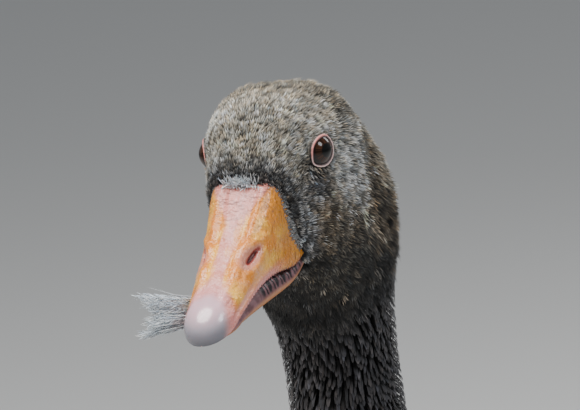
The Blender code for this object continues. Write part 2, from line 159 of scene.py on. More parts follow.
# Leg sections: side, ahead, height, half depth fore and aft, half width.
THIGH = [
    (54, 26, 214, 30, 20),
    (57, 18, 180, 31, 21),
    (HIP_SIDE - 1, 4, 145, 23, 17),
    (HIP_SIDE, -8, 120, 14, 12),
    (HIP_SIDE, -12, HEEL_HEIGHT, 9.5, 8.6),
]
SHANK = [
    (HIP_SIDE, -12.3, HEEL_HEIGHT + 1.0, 8.8, 7.8),
    (HIP_SIDE, -10.5, 94, 9.2, 7.9),
    (HIP_SIDE + 0.6, -5, 78, 7.4, 6.1),
    (HIP_SIDE + 1.2, 1, 50, 6.8, 5.6),
    (HIP_SIDE + 1.8, 5.5, 27, 7.2, 6.3),
    (FOOT_SIDE, ANKLE_AHEAD, ANKLE_HEIGHT - 3.0, 8.2, 7.6),
    (FOOT_SIDE, ANKLE_AHEAD, ANKLE_HEIGHT - 9.0, 7.6, 7.0),
]
SCALE_ROWS, SCALE_COLUMNS, TOE_BAND = 27, 12, 3.1  # scales down the shank and round it; a toe scale's length
TOE_ANGLES, TOE_LENGTHS = (math.radians(-25.0), 0.0, math.radians(23.0)), (64.0, 86.0, 78.0)
TOE_HALF_WIDTH, WEB_THICKNESS, WEB_SCALLOP, HEEL_PAD_RADIUS = 4.4, 2.4, 0.17, 9.5
CLAW_LENGTH, CLAW_RADIUS = 8.0, 2.5
HIND_TOE_HEADING, HIND_TOE_HEIGHT, HIND_TOE_LENGTH = math.pi - 0.35, 8.7, 15.5
HIND_TOE_RADIUS, HIND_TOE_DROP = 3.5, 3.6


# ---------------------------------------------------------------- curves and surfaces
def smooth_through(values, at):
    """The C2 cubic through rows of values at whole-number places, read at the places in at: on each stretch
    it is the chord plus u(1-u) times the slope differences at its two ends."""
    values, at = np.asarray(values, float), np.asarray(at, float)
    count = len(values)
    every, near = np.arange(count), np.arange(count - 1)
    system = np.eye(count) * 4
    system[0, 0] = system[-1, -1] = 2
    system[near, near + 1] = system[near + 1, near] = 1
    right = 3 * (values[np.minimum(every + 1, count - 1)] - values[np.maximum(every - 1, 0)])
    slope = np.linalg.solve(system, right)
    k = np.clip(at.astype(int), 0, count - 2)
    u = (np.clip(at, 0, count - 1) - k)[..., None]
    rise = values[k + 1] - values[k]
    return values[k] + u * rise + u * (1 - u) * ((1 - u) * (slope[k] - rise) + u * (rise - slope[k + 1]))


def read_table(table, run):
    """A table's columns at a share of its length, on the smooth curve through its rows."""
    return np.moveaxis(smooth_through(table, run * (len(table) - 1)), -1, 0)


def ease(value, low, high):
    """0 below low, 1 above high and 3t^2 - 2t^3 between them."""
    t = np.clip((np.asarray(value, float) - low) / (high - low), 0, 1)
    return t * t * (3 - 2 * t)


def bell(value, middle, width):
    """The Gaussian bell exp(-((value - middle) / width)^2)."""
    return np.exp(-(((np.asarray(value, float) - middle) / width) ** 2))


def signed_power(value, power):
    """The power of a value's size, with the value's sign."""
    return np.sign(value) * np.abs(value) ** power


def superellipse(x, y, power):
    """Where the ray towards (x, y) meets |x|^n + |y|^n = 1."""
    reach = (np.abs(x) ** power + np.abs(y) ** power) ** (-1 / power)
    return x * reach, y * reach


def unit(vectors):
    """Vectors scaled to length 1."""
    return vectors / np.maximum(np.linalg.norm(vectors, axis=-1, keepdims=True), 1e-12)


def dot(first, second):
    """Dot products, row by row."""
    return np.einsum("ij,ij->i", first, second)


def grid(a, b):
    """Every pair of a and b, as two arrays with a along their rows."""
    return np.meshgrid(a, b, indexing="ij")


def turns(count):
    """Even steps round a whole turn, without the last."""
    return np.linspace(0, TAU, count, endpoint=False)


def from_back(turn):
    """How far round from the back line a turn is, either way, from 0 to pi."""
    return np.abs((turn + math.pi) % TAU - math.pi)


def to_world(side, ahead, height):
    """Millimetres in the bird's frame as world points in metres."""
    side, ahead, height = np.broadcast_arrays(side, ahead, height)
    return np.stack([side, -(ahead + LENGTH_SHIFT), height], axis=-1).astype(float) * MM


def head_to_world(ahead, side, up):
    """Millimetres in the head's frame as world points in metres."""
    return to_world(side, *in_head(ahead, up))


def world_to_head(points):
    """World points in metres as (ahead, side, up) in the head's frame, in millimetres."""
    forward = -points[..., 1] / MM - LENGTH_SHIFT - EYE_AHEAD
    height = points[..., 2] / MM - EYE_HEIGHT
    return HEAD_COS * forward - HEAD_SIN * height, points[..., 0] / MM, HEAD_SIN * forward + HEAD_COS * height


def framed(surface, a, b):
    """A surface's points, outward unit normals and two derivatives, by central differences."""
    step = 2e-3
    by_a = (surface(a + step, b) - surface(a - step, b)) / (2 * step)
    by_b = (surface(a, b + step) - surface(a, b - step)) / (2 * step)
    return surface(a, b), unit(np.cross(by_b, by_a)), by_a, by_b


def lie_axes(surface, a, b):
    """A surface's points, its two derivatives, and unit vectors down the lie, along growing a, and beside it,
    towards growing b."""
    here, normal, by_a, by_b = framed(surface, a, b)
    down = unit(by_a)
    beside = np.cross(down, normal)
    beside = unit(np.where(dot(beside, by_b)[:, None] < 0, -beside, beside))
    return here, by_a, by_b, down, beside


def body_point(ring, turn):
    """The feathered outline. Each ring is a superellipse between its back and belly points, met along the ray
    that stands at turn from the back line."""
    row = smooth_through(BODY_TABLE, ring)
    half, power, egg = row[..., 4], row[..., 5], row[..., 6]
    x, y = superellipse(np.sin(turn), np.cos(turn), power)
    middle = (row[..., 0:2] + row[..., 2:4]) / 2 + (row[..., 0:2] - row[..., 2:4]) / 2 * y[..., None]
    side = half * x * (1 + egg * signed_power(y, power / 2))
    fan = np.clip((ring - TAIL_ROOT) / (TAIL_TIP - TAIL_ROOT), 0, 1)
    return to_world(side, middle[..., 0] + TAIL_FAN_ARC * fan * (side / half) ** 2, middle[..., 1])


def wing_root(run, across):
    """The ring and turn of the body's outline below a place on the wing, and the wing's thickness there."""
    ring, top, low, thick = read_table(WING_SECTIONS, np.clip(run, 0, 1))
    return ring, np.radians(top + (low - top) * np.clip(across, 0, 1)), thick


def wing_point(run, across):
    """The folded left wing's outer face: run goes from the shoulder to the wing tip and across from the upper
    edge to the lower one. It is the body's outline, lifted by a rounded cushion of the section's
    thickness."""
    ring, around, thick = wing_root(run, across)
    place = np.clip(across, 0, 1)
    power = smooth_through(BODY_TABLE, ring)[..., 5]
    turn = np.arctan2(signed_power(np.sin(around), 2 / power), signed_power(np.cos(around), 2 / power))
    lift = 0.8 + (thick - 0.8) * (4 * place * (1 - place)) ** 0.4
    base, normal = framed(body_point, ring, turn)[:2]
    return base + normal * (lift * MM)[..., None]


def tail_point(run, across):
    """The tail fan's upper face: run goes from the rump to the tips and across from -1, the right edge, to 1.
    The face sags and the outer tips come forward with the square of across."""
    row = smooth_through(BODY_TABLE, VENT + 0.4 + (TAIL_TIP - VENT - 0.4) * run)
    ahead = row[..., 0] + TAIL_FAN_ARC * np.clip(run, 0, 1) ** 1.3 * across**2
    sag = (row[..., 1] - row[..., 3]) * 0.42 * across**2
    return to_world(row[..., 4] * (1 - 0.12 * (1 - run)) * across, ahead, row[..., 1] - sag)


def thigh_point(run, turn):
    """Level ellipses down the feathered thigh, from the flank at 0 to the heel at 1."""
    side, ahead, height, deep, wide = read_table(THIGH, run)
    return to_world(side - wide * np.sin(turn), ahead + deep * np.cos(turn), height)


def coat_depth(ring):
    """How deep the skin lies below the feather tips, in metres."""
    return smooth_through(np.array(COAT_DEPTH)[:, None], ring)[..., 0] * MM


# ---------------------------------------------------------------- meshes
def mesh_from(name, points, faces):
    """A mesh from an array of points and an array of equal-sided faces."""
    mesh = bpy.data.meshes.new(name)
    points = np.ascontiguousarray(points.reshape(-1, 3), dtype=np.float32)
    faces = np.ascontiguousarray(faces, dtype=np.int32)
    mesh.vertices.add(len(points))
    mesh.vertices.foreach_set("co", points.ravel())
    mesh.loops.add(faces.size)
    mesh.loops.foreach_set("vertex_index", faces.ravel())
    mesh.polygons.add(len(faces))
    mesh.polygons.foreach_set("loop_start", np.arange(0, faces.size, faces.shape[1], dtype=np.int32))
    mesh.update(calc_edges=True)
    mesh.shade_smooth()
    return mesh


def grid_faces(rows, columns, wrap):
    """Quads over a grid of rows by columns, closing the last column on the first where wrap is true."""
    i = np.arange(rows - 1)[:, None] * columns
    j = np.arange(columns if wrap else columns - 1)[None, :]
    k = (j + 1) % columns
    return np.stack([i + j, i + k, i + columns + k, i + columns + j], -1).reshape(-1, 4)


def closed_tube(points, flip=False):
    """Points (rows, columns, 3) round a tube, closed on a hub at each end: returns points and quads. Each
    quad of a cap takes two edges of its ring, so the column count is even."""
    rows, columns = points.shape[:2]
    hubs = np.stack([points[0].mean(0), points[-1].mean(0)])
    faces, j = [grid_faces(rows, columns, True)], np.arange(0, columns, 2)
    for start, hub in ((0, rows * columns), ((rows - 1) * columns, rows * columns + 1)):
        corners = [start + j, start + (j + 1) % columns, start + (j + 2) % columns, np.full_like(j, hub)]
        faces.append(np.stack(corners, -1)[:, :: 1 if start else -1])
    return np.concatenate([points.reshape(-1, 3), hubs]), np.concatenate(faces)[:, :: -1 if flip else 1]


def with_hubs(values):
    """Values given point by point round a tube, flat, with the first and the last again for its hubs."""
    return np.concatenate([values, values[:1], values[-1:]])


def join(parts):
    """Joins (points, faces) pairs into one pair."""
    starts = np.cumsum([0] + [len(points) for points, _ in parts])
    faces = np.concatenate([faces + start for (_, faces), start in zip(parts, starts)])
    return np.concatenate([points for points, _ in parts]), faces


def for_side(sign, points, faces):
    """Points and faces as they are, for the left, or mirrored, for the right."""
    return (points, faces) if sign > 0 else (points * np.array([-1.0, 1.0, 1.0]), faces[:, ::-1])


def faces_inward(points, centre):
    """Whether the faces of a grid that closes round its columns look towards centre."""
    i, j = points.shape[0] // 2, points.shape[1] // 4
    across, along = points[i, j + 1] - points[i, j], points[i + 1, j] - points[i, j]
    return bool(np.dot(np.cross(across, along), points[i, j] - centre) < 0)


def put_colour(mesh, name, colours):
    """Stores one colour a point."""
    full = np.ones((len(mesh.vertices), 4), np.float32)
    full[:, :3] = colours.reshape(-1, 3)
    mesh.attributes.new(name, "FLOAT_COLOR", "POINT").data.foreach_set("color", full.ravel())


def put_value(mesh, name, values):
    """Stores one number a point."""
    layer = mesh.attributes.new(name, "FLOAT", "POINT")
    layer.data.foreach_set("value", np.ascontiguousarray(values, np.float32).ravel())


def put_tube_value(mesh, name, values, shape):
    """Stores a measure over a closed tube's grid of points."""
    put_value(mesh, name, with_hubs(np.broadcast_to(np.asarray(values, float), shape).ravel()))


def put_uv(mesh, name, by_point):
    """Stores a UV map that is given point by point."""
    corner = np.empty(len(mesh.loops), np.int32)
    mesh.loops.foreach_get("vertex_index", corner)
    layer = mesh.uv_layers.new(name=name)
    layer.data.foreach_set("uv", np.ascontiguousarray(by_point.reshape(-1, 2)[corner], np.float32).ravel())


def add_object(name, data, **places):
    """Puts an object in the scene."""
    made = bpy.data.objects.new(name, data)
    for key, value in places.items():
        setattr(made, key, value)
    bpy.context.scene.collection.objects.link(made)
    return made


def add_piece(mesh, material, nodes=()):
    """Puts a mesh in the scene as a piece that rides on the bird and stands for the named nodes."""
    piece = add_object(mesh.name, mesh)
    mesh.materials.append(bpy.data.materials[material])
    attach(piece, "root")
    if nodes:
        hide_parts(*nodes)


# ---------------------------------------------------------------- shader maths
def maths(operation, swapped=False):
    """A method that adds one Math node to its field, with the other value first where swapped is true."""

    def method(self, *others):
        values = (*others, self) if swapped else (self, *others)
        return self.paint.node("ShaderNodeMath", {"operation": operation}, *values)

    return method


class Field:
    """A shader socket that Python arithmetic adds Math nodes to."""

    def __init__(self, paint, socket):
        self.paint, self.socket = paint, socket

    __add__ = __radd__ = maths("ADD")
    __mul__ = __rmul__ = maths("MULTIPLY")
    __sub__, __rsub__ = maths("SUBTRACT"), maths("SUBTRACT", swapped=True)
    __truediv__, __rtruediv__ = maths("DIVIDE"), maths("DIVIDE", swapped=True)
    absolute, sine = maths("ABSOLUTE"), maths("SINE")

    def ease(self, low, high):
        """0 at low and below, 1 at high and above, smooth between; low may be the larger of the two."""
        settings = {"interpolation_type": "SMOOTHSTEP", "clamp": True}
        return self.paint.node("ShaderNodeMapRange", settings, self, low, high, 0.0, 1.0)

    def bell(self, middle, width):
        """About 1 near middle and 0 beyond width: 1 / (1 + (2 (x - middle) / width)^4)."""
        scaled = (self - middle) * (2.0 / width)
        square = scaled * scaled
        return 1.0 / (square * square + 1.0)


class Paint:
    """A material whose nodes are made by expressions."""

    def __init__(self, name, **constants):
        """The constants are the shader's plain values, by socket name."""
        self.material = bpy.data.materials.new(name)
        self.material.use_nodes = True
        self.tree = self.material.node_tree
        self.shader = self.tree.nodes["Principled BSDF"]
        for key, value in constants.items():
            self.shader.inputs[key.replace("_", " ")].default_value = value

    def node(self, kind, settings, *values, output=0, **named):
        """Adds a node: settings are set first, then sockets by order or by name, from numbers, colours or
        fields."""
        made = self.tree.nodes.new(kind)
        for key, value in settings.items():
            setattr(made, key, value)
        named = [(made.inputs[key.replace("_", " ")], value) for key, value in named.items()]
        for socket, value in [*zip(made.inputs, values), *named]:
            self.feed(socket, value)
        return Field(self, made.outputs[output])

    def feed(self, socket, value):
        """Links a field to a socket, or sets the socket to a number or colour."""
        if isinstance(value, Field):
            self.tree.links.new(value.socket, socket)
        elif value is not None:
            socket.default_value = (*value, 1.0) if socket.type == "RGBA" and len(value) == 3 else value

    def mix(self, below, above, factor, blend="MIX"):
        """Colour mix from below to above."""
        made = self.tree.nodes.new("ShaderNodeMix")
        made.data_type, made.blend_type = "RGBA", blend
        for index, value in ((0, factor), (6, below), (7, above)):
            self.feed(made.inputs[index], value)
        return Field(self, made.outputs[2])

    def layers(self, colour, *rows):
        """Lays colours over a colour one after another, each by its own factor."""
        for above, factor in rows:
            colour = self.mix(colour, above, factor)
        return colour

    def shade(self, colour, value, factor=1.0):
        """Multiplies a colour by a number field, as strongly as factor says."""
        grey = self.node("ShaderNodeCombineColor", {}, value, value, value)
        return self.mix(colour, grey, factor, "MULTIPLY")

    def place(self):
        """Object coordinates."""
        return self.node("ShaderNodeTexCoord", {}, output=3)

    def colour(self, name):
        """A colour that the mesh stores."""
        return self.node("ShaderNodeAttribute", {"attribute_name": name})

    def value(self, name):
        """A number that the mesh stores."""
        return self.node("ShaderNodeAttribute", {"attribute_name": name}, output=2)

    def along(self, direction, origin=(0, 0, 0)):
        """How far the surface point lies from origin along a direction, in metres."""
        start = self.node("ShaderNodeVectorMath", {"operation": "SUBTRACT"}, self.place(), origin)
        return self.node("ShaderNodeVectorMath", {"operation": "DOT_PRODUCT"}, start, direction, output=1)

    def noise(self, scale, detail=3.0, stretch=(1, 1, 1), turn=(0, 0, 0)):
        """Noise on object coordinates, scale to the metre, denser along the axes that stretch multiplies."""
        place = self.node("ShaderNodeMapping", {}, self.place(), Scale=stretch, Rotation=turn)
        return self.node("ShaderNodeTexNoise", {}, place, None, scale, detail, 0.55)

    def finish(self, colour, roughness=None, height=None, depth=0.001, strength=1.0):
        """Feeds the shader: colour, roughness where it varies, and height as a bump of depth metres."""
        self.feed(self.shader.inputs["Base Color"], colour)
        self.feed(self.shader.inputs["Roughness"], roughness)
        if height is not None:
            bump = self.node("ShaderNodeBump", {}, Strength=strength, Distance=depth, Height=height)
            self.feed(self.shader.inputs["Normal"], bump)


# ---------------------------------------------------------------- plumage colours
# Each plumage's ground colour and edge colour. On the head the very dark ground colours are partly painted
# shade at the feathers' bases, between their pale tips.
COLOURS = {
    "crown": ((0.029, 0.024, 0.019), (0.505, 0.458, 0.372)),
    # partly painted light and shade: the brow's pale edges lighten the forehead and the places over the eyes
    # as if lit, and the poll darkens the crown's top
    "brow": ((0.036, 0.031, 0.026), (0.66, 0.615, 0.53)),
    "poll": ((0.017, 0.0135, 0.010), (0.20, 0.172, 0.128)),
    "lore": ((0.023, 0.025, 0.031), (0.22, 0.23, 0.25)),
    "cheek": ((0.008, 0.0066, 0.005), (0.21, 0.165, 0.115)),
    # partly painted light: the pale patch behind the eye is made paler than its own colour, as the light that
    # falls on it from behind
    "soft": ((0.19, 0.185, 0.17), (0.66, 0.64, 0.60)),
    # partly painted shade: jaw, throat and neck are darker than their own grey-brown, as the shade under the
    # head and on the neck
    "jaw": ((0.006, 0.0055, 0.005), (0.046, 0.041, 0.034)),
    "throat": ((0.0042, 0.0040, 0.0040), (0.021, 0.0195, 0.0185)),
    "neck": ((0.0037, 0.0034, 0.0036), (0.037, 0.034, 0.036)),
    "breast": ((0.085, 0.075, 0.064), (0.25, 0.225, 0.185)),
    "flank": ((0.050, 0.042, 0.035), (0.33, 0.29, 0.235)),
    "belly": ((0.34, 0.32, 0.29), (0.52, 0.50, 0.46)),
    "white": ((0.60, 0.595, 0.575), (0.78, 0.775, 0.76)),
    "back": ((0.040, 0.034, 0.029), (0.22, 0.19, 0.15)),
    "rump": ((0.11, 0.11, 0.115), (0.20, 0.20, 0.205)),
}
COVERT_TONES = (((0.105, 0.10, 0.098), (0.40, 0.375, 0.33)), ((0.075, 0.068, 0.062), (0.42, 0.39, 0.34)))
QUILL_TONES = (((0.050, 0.045, 0.042), (0.34, 0.32, 0.29)), ((0.018, 0.016, 0.015), (0.26, 0.24, 0.21)))


def neckline(ring, turn):
    """How far down the neck a place lies, counted in rings: the throat side is ahead of the nape side, so
    that a level line round the neck has one value."""
    return ring + 2.4 * ease(from_back(turn), 1.0, 3.0) * (1 - ease(ring, THROAT, NECK_HIGH))


def blended(layers):
    """Lays pairs of ground and edge colours over each other, each by its own mask from 0 to 1."""
    tones = np.zeros((2, 1, 3))
    for name, mask in layers:
        tones = tones + (np.array(COLOURS[name])[:, None] - tones) * np.asarray(mask, float)[..., None]
    return tones


def plumage(ring, turn):
    """The coat's ground and edge colours at a place on the body, as bells and steps in ring and turn. Skin
    and feathers both take their colours from here."""
    around = from_back(turn)
    down = neckline(ring, turn)
    return blended([
        ("crown", np.ones_like(ring)),
        # partly painted light and shade: the brow layer lightens the forehead and over the eyes, and the poll
        # layer darkens the crown's top
        ("brow", 0.7 * bell(around, 0.85, 0.40) * bell(ring, 3.0, 1.1)),
        ("poll", ease(ring - 0.9 * around, 2.2, 4.3) * (1 - 0.5 * ease(ring, 6.0, 7.5))),
        ("cheek", ease(around, 0.85, 1.35) * ease(ring, 0.3, 2.2)),
        ("lore", 0.72 * (1 - ease(ring - 0.6 * around, 0.2, 1.3))),
        ("lore", 0.85 * bell(ring, 2.35, 0.6) * bell(around, 1.35, 0.22)),
        # partly painted light: the soft layer's pale patch behind the eye stands partly for light falling on
        # it from behind
        ("soft", 0.9 * ease(ring, 2.9, 3.9) * (1 - ease(ring, 4.5, 5.8)) * bell(around, 1.27, 0.34)),
        # partly painted shade: the jaw and throat layers darken the head's underside and the neck, as the
        # shade under the chin
        ("jaw", ease(around + 0.10 * ring, 1.95, 2.6) * ease(ring, 0.6, 2.0)),
        ("throat", ease(around + 0.16 * ring, 2.95, 3.6) * ease(ring, 1.0, 3.0)),
        ("throat", ease(down, 6.3, 8.2)),
        ("neck", ease(down, 7.6, 9.0)),
        ("breast", ease(ring, NECK_MID + 0.1, NECK_BASE + 0.9)),
        ("back", (1 - ease(around, 0.95, 1.45)) * ease(ring, NECK_BASE - 0.2, SHOULDER + 0.6)),
        ("flank", ease(ring, KEEL - 0.6, RIBS) * bell(around, 1.75, 0.75)),
        ("belly", ease(around, 2.1, 2.6) * ease(ring, KEEL - 0.3, RIBS + 0.6)),
        ("rump", (1 - ease(around, 0.8, 1.2)) * ease(ring, PAUNCH + 0.3, RUMP + 0.3)),
        ("white", ease(around, 1.5, 1.9) * ease(ring + 0.25 * around, RUMP, RUMP + 0.8)),
        ("white", ease(ring, VENT + 0.1, VENT + 0.5)),
    ])


def varied(colours, seed, spread=0.22, warm=0.04):
    """Colours times a log-normal brightness and a small warm or cool shift, one draw for each row."""
    rng = np.random.default_rng(seed)
    bright = np.exp(rng.normal(0, spread, len(colours)))[:, None]
    shift = rng.normal(0, warm, len(colours))[:, None] * np.array([[1.0, 0.1, -1.0]])
    return np.clip(colours * bright * (1 + shift), 0.004, 0.95)


def varied_pair(tones, seed, ground, edge):
    """The ground and the edge colours, each varied by its own spreads from its own seed."""
    return varied(tones[0], seed, *ground), varied(tones[1], seed + 1, *edge)


# ---------------------------------------------------------------- feathers
SPREAD_STEPS = (0.7548776662466927, 0.5698402909980532)  # inverse powers of the plastic number
SEED_STRIDE = 37  # points that one seed skips against the next
SCATTER_CELLS = 120  # cells of a patch each way, over which its area is added up
FRAY_SEED, FRAYED_RIM = 1000, 0.6  # fray shakes what lies beyond this share of the rim
BAKE_PATCH = 0.003  # a feather's size on the bake map


def lance():
    """A roof-shaped blade: two sections of left edge, ridge and right edge, and a point. Columns are across,
    along, rise in half widths and rim."""
    root = [(-0.6, 0, 0, 0), (0, 0, 0.5, 0), (0.6, 0, 0, 0)]
    middle = [(-1, 0.5, 0, 0.6), (0, 0.5, 0.6, 0.6), (1, 0.5, 0, 0.6)]
    faces = [(0, 1, 4), (0, 4, 3), (1, 2, 5), (1, 5, 4), (3, 4, 6), (4, 5, 6)]
    return np.array([*root, *middle, (0, 1, 0, 1)], float), np.array(faces)


def vane(
    across, along, waist=0.62, shoulder=0.6, rim_power=4.0, tip_rim=0.74, point=0.10, side_rim=(0.25, 0.75)
):
    """A feather blade as a grid: its half width grows from waist to 1 and closes as a quarter ellipse beyond
    shoulder. Its rim rises to 1 at both sides, fading in over side_rim of the way along, and beyond tip_rim
    at the tip."""
    u = np.linspace(-1, 1, across)[None, :]
    v = np.sin(np.linspace(0, math.pi / 2, along))[:, None]
    grow = waist + (1 - waist) * ease(v, 0, 0.55)
    close = np.sqrt(np.maximum(1 - np.clip((v - shoulder) / (1 - shoulder), 0, 1) ** 2, point**2))
    rise = 0.30 * (1 - u**2) - 0.06
    rim = np.maximum(np.abs(u) ** rim_power * ease(v, *side_rim), ease(v, tip_rim, 1.0))
    points = np.stack([u * grow * close, v + 0 * u, rise * close, rim], -1).reshape(-1, 4)
    quads = grid_faces(along, across, False)[:, ::-1]
    return points, np.concatenate([quads[:, [0, 1, 2]], quads[:, [0, 2, 3]]])


def scatter(count, surface, a_span, b_span, seed, weight=None):
    """Spreads points over a patch in proportion to its area times weight(a, b): a low-discrepancy sequence
    sent through the patch's cumulative area, first by a and then by b."""
    edges_a, edges_b = (np.linspace(*span, SCATTER_CELLS + 1) for span in (a_span, b_span))
    a, b = (edges_a[1:] + edges_a[:-1]) / 2, (edges_b[1:] + edges_b[:-1]) / 2
    grid_a, grid_b = grid(a, b)
    area = np.linalg.norm(np.cross(*framed(surface, grid_a, grid_b)[2:]), axis=-1)
    if weight is not None:
        area = area * weight(grid_a, grid_b)
    rows = np.concatenate([[0], np.cumsum(area.sum(1))])
    first, second = ((np.arange(1, count + 1) + SEED_STRIDE * seed) * step % 1 for step in SPREAD_STEPS)
    place = np.interp(first, rows / rows[-1], np.arange(len(rows)))
    k = np.minimum(place.astype(int), len(a) - 1)
    columns = np.cumsum(area, axis=1)
    columns = np.concatenate([np.zeros((len(a), 1)), columns / columns[:, -1:]], axis=1)
    flat = (columns + np.arange(len(a))[:, None] * 2.0).ravel()
    found = np.searchsorted(flat, second + 2.0 * k, side="right") - 1 - k * columns.shape[1]
    found = np.clip(found, 0, len(b) - 1)
    low, high = columns[k, found], columns[k, found + 1]
    across = found + (second - low) / np.maximum(high - low, 1e-9)
    return edges_a[0] + (edges_a[1] - edges_a[0]) * place, edges_b[0] + (edges_b[1] - edges_b[0]) * across


def repeated(faces, count, size):
    """A template's faces, once for each of count feathers of size points."""
    return (faces[None] + (np.arange(count) * size)[:, None, None]).reshape(-1, faces.shape[1])


def laid(
    surface, a, b, length, width, yaw, root, tip, template, arch=0.0, tilt=0.0, fray=0.0, twist=0.0, seed=0
):
    """Feathers laid on a surface. Each point of the template goes from the feather's root by its along share
    of the length down the lie and its across share of the half width, through the surface's own parameters,
    and then out along the normal: from root to tip height, plus an arch half way, a tilt across and the
    blade's own rise. Fray shakes the rim, and twist bends the lie with the square of the way along."""
    points, faces = template
    count = len(a)
    _, by_a, by_b, down, beside = lie_axes(surface, a, b)
    aa, ab, bb = dot(by_a, by_a), dot(by_a, by_b), dot(by_b, by_b)  # the surface's metric
    det = aa * bb - ab**2

    def column(values):
        """One value for each feather, as a column."""
        return np.broadcast_to(np.asarray(values, float), (count,))[:, None]

    def in_parameters(vector):
        """A tangent vector as steps of a and b."""
        x, y = dot(vector, by_a), dot(vector, by_b)
        return column((bb * x - ab * y) / det), column((aa * y - ab * x) / det)

    length, width, yaw, root, tip, arch, tilt = map(column, (length, width, yaw, root, tip, arch, tilt))
    lie_a, lie_b = in_parameters(down * np.cos(yaw) + beside * np.sin(yaw))
    wide_a, wide_b = in_parameters(beside * np.cos(yaw) - down * np.sin(yaw))
    u, v, rise, rim = (np.repeat(values[None], count, axis=0) for values in points.T)
    if fray:
        rng = np.random.default_rng(FRAY_SEED + seed)
        v = v + fray * rng.normal(size=v.shape) * (rim > FRAYED_RIM)
        u = u * (1 + 0.6 * fray * rng.normal(size=v.shape) * (rim > FRAYED_RIM))
    grow, half = length * v, width / 2 * u
    bent = half + twist * grow * v
    at_a = a[:, None] + lie_a * grow + wide_a * bent
    at_b = b[:, None] + lie_b * grow + wide_b * bent
    where, out = framed(surface, at_a, at_b)[:2]
    height = root + (tip - root) * ease(v, 0, 0.9) + arch * np.sin(math.pi * np.clip(v, 0, 1))
    placed = where + out * (height + tilt * u + rise * width / 2)[..., None]
    every = repeated(faces, count, len(points))
    return {"points": placed.reshape(-1, 3), "faces": every, "u": u, "v": v, "rim": rim, "vane": (half, grow)}


def coat_piece(name, made, ring, turn, tones, material, slot, sign=1):
    """Stores laid feathers as one mesh with its colours, its rim and vane measures and its bake map. In the
    map the skin is unwrapped with rings along and turns round, and each feather is a small patch at its
    root."""
    mesh = mesh_from(name, *for_side(sign, made["points"], made["faces"]))
    for layer, colours in zip(("ground", "edge"), tones):
        put_colour(mesh, layer, np.repeat(colours, made["u"].shape[1], axis=0))
    put_value(mesh, "rim", made["rim"])
    place = np.stack([0.02 + 0.96 * ring / TAIL_TIP, 0.02 + 0.96 * ((turn * sign / TAU + 0.5) % 1.0)], -1)
    patch = np.stack([made["v"] - 0.5, made["u"] * 0.45], -1) * BAKE_PATCH
    put_uv(mesh, "OFBake", place[:, None, :] + patch)
    put_uv(mesh, "vane", np.stack(made["vane"], -1))
    add_piece(mesh, material)


def uneven(rng, spread, count):
    """Log-normal factors round 1."""
    return np.exp(rng.normal(0, spread, count))


def sized(rng, table, at, spread):
    """Sizes in metres, read from a table of places and millimetres, each times its own factor round 1."""
    return np.interp(at, *table) * MM * uneven(rng, spread, len(at))


# ---------------------------------------------------------------- places to keep clear of
def eye_frame(sign):
    """An eye's centre and its looking, long and short axes, in the head's (ahead, side, up) frame."""
    mirror, upright = np.array([1, sign, 1]), np.array([0, 0, 1.0])
    look = unit(np.array(EYE_LOOK)) * mirror
    level = unit(np.cross(upright, look))
    level = level if level[0] > 0 else -level
    rise = unit(upright - look * look[2])
    long = level * math.cos(LID_TILT) + rise * math.sin(LID_TILT)
    short = rise * math.cos(LID_TILT) - level * math.sin(LID_TILT)
    return np.array(EYE_PLACE) * mirror, look, long, short


def eye_point(sign, radius, polar, angle):
    """The world point at a radius from an eye's centre, a polar angle from its looking axis and an angle
    round it, counted from its long axis to its short one."""
    centre, look, long, short = eye_frame(sign)
    across = long * (np.sin(polar) * np.cos(angle))[..., None]
    across = across + short * (np.sin(polar) * np.sin(angle))[..., None]
    spot = centre + radius[..., None] * (look * np.cos(polar)[..., None] + across)
    return head_to_world(spot[..., 0], spot[..., 1], spot[..., 2])


def eye_centre(sign):
    """An eye's centre in world axes."""
    return head_to_world(*eye_frame(sign)[0])


def lid_opening(angle):
    """Half opening of the lids at an angle round the looking axis: an egg between the long and short half
    openings, drawn out to a slight point at the front corner, where the angle is 0."""
    short = LID_SHORT * (1 + 0.13 * np.cos(angle))
    reach = ((np.cos(angle) / LID_LONG) ** 2 + (np.sin(angle) / short) ** 2) ** -0.5
    return reach * (1 + 0.16 * bell((angle + math.pi) % TAU - math.pi, 0, 0.42))


def eye_clearance(points):
    """How far outside the nearest lid opening each world point lies, as an angle from the eye's centre, and
    the outward direction from the eye, in world axes."""
    head = np.stack(world_to_head(points), -1)
    found = []
    for _, sign in SIDES:
        centre, look, long, short = eye_frame(sign)
        x, y, z = (head - centre) @ long, (head - centre) @ short, (head - centre) @ look
        beyond = np.arctan2(np.hypot(x, y), z) - lid_opening(np.arctan2(y, x))
        away = unit(x[..., None] * long + y[..., None] * short)
        found.append(np.concatenate([beyond[..., None], away], -1))
    beyond, ahead, side, up = np.moveaxis(np.where(head[..., 1:2] >= 0, *found), -1, 0)
    forward, height = HEAD_COS * ahead + HEAD_SIN * up, -HEAD_SIN * ahead + HEAD_COS * up
    return beyond, np.stack([side, -forward, height], -1)


BILL_ROOT, GAPE_HALF, GAPE_TOP, GAPE_BOTTOM = 10.0, 15.0, -36.0, -46.0  # where feathers meet the bill


def bill_row(ahead):
    """The upper bill's columns at a distance ahead of the eyes."""
    place = np.interp(ahead, [row[0] for row in UPPER_BILL], np.arange(len(UPPER_BILL)))
    return np.moveaxis(smooth_through(UPPER_BILL, place), -1, 0)


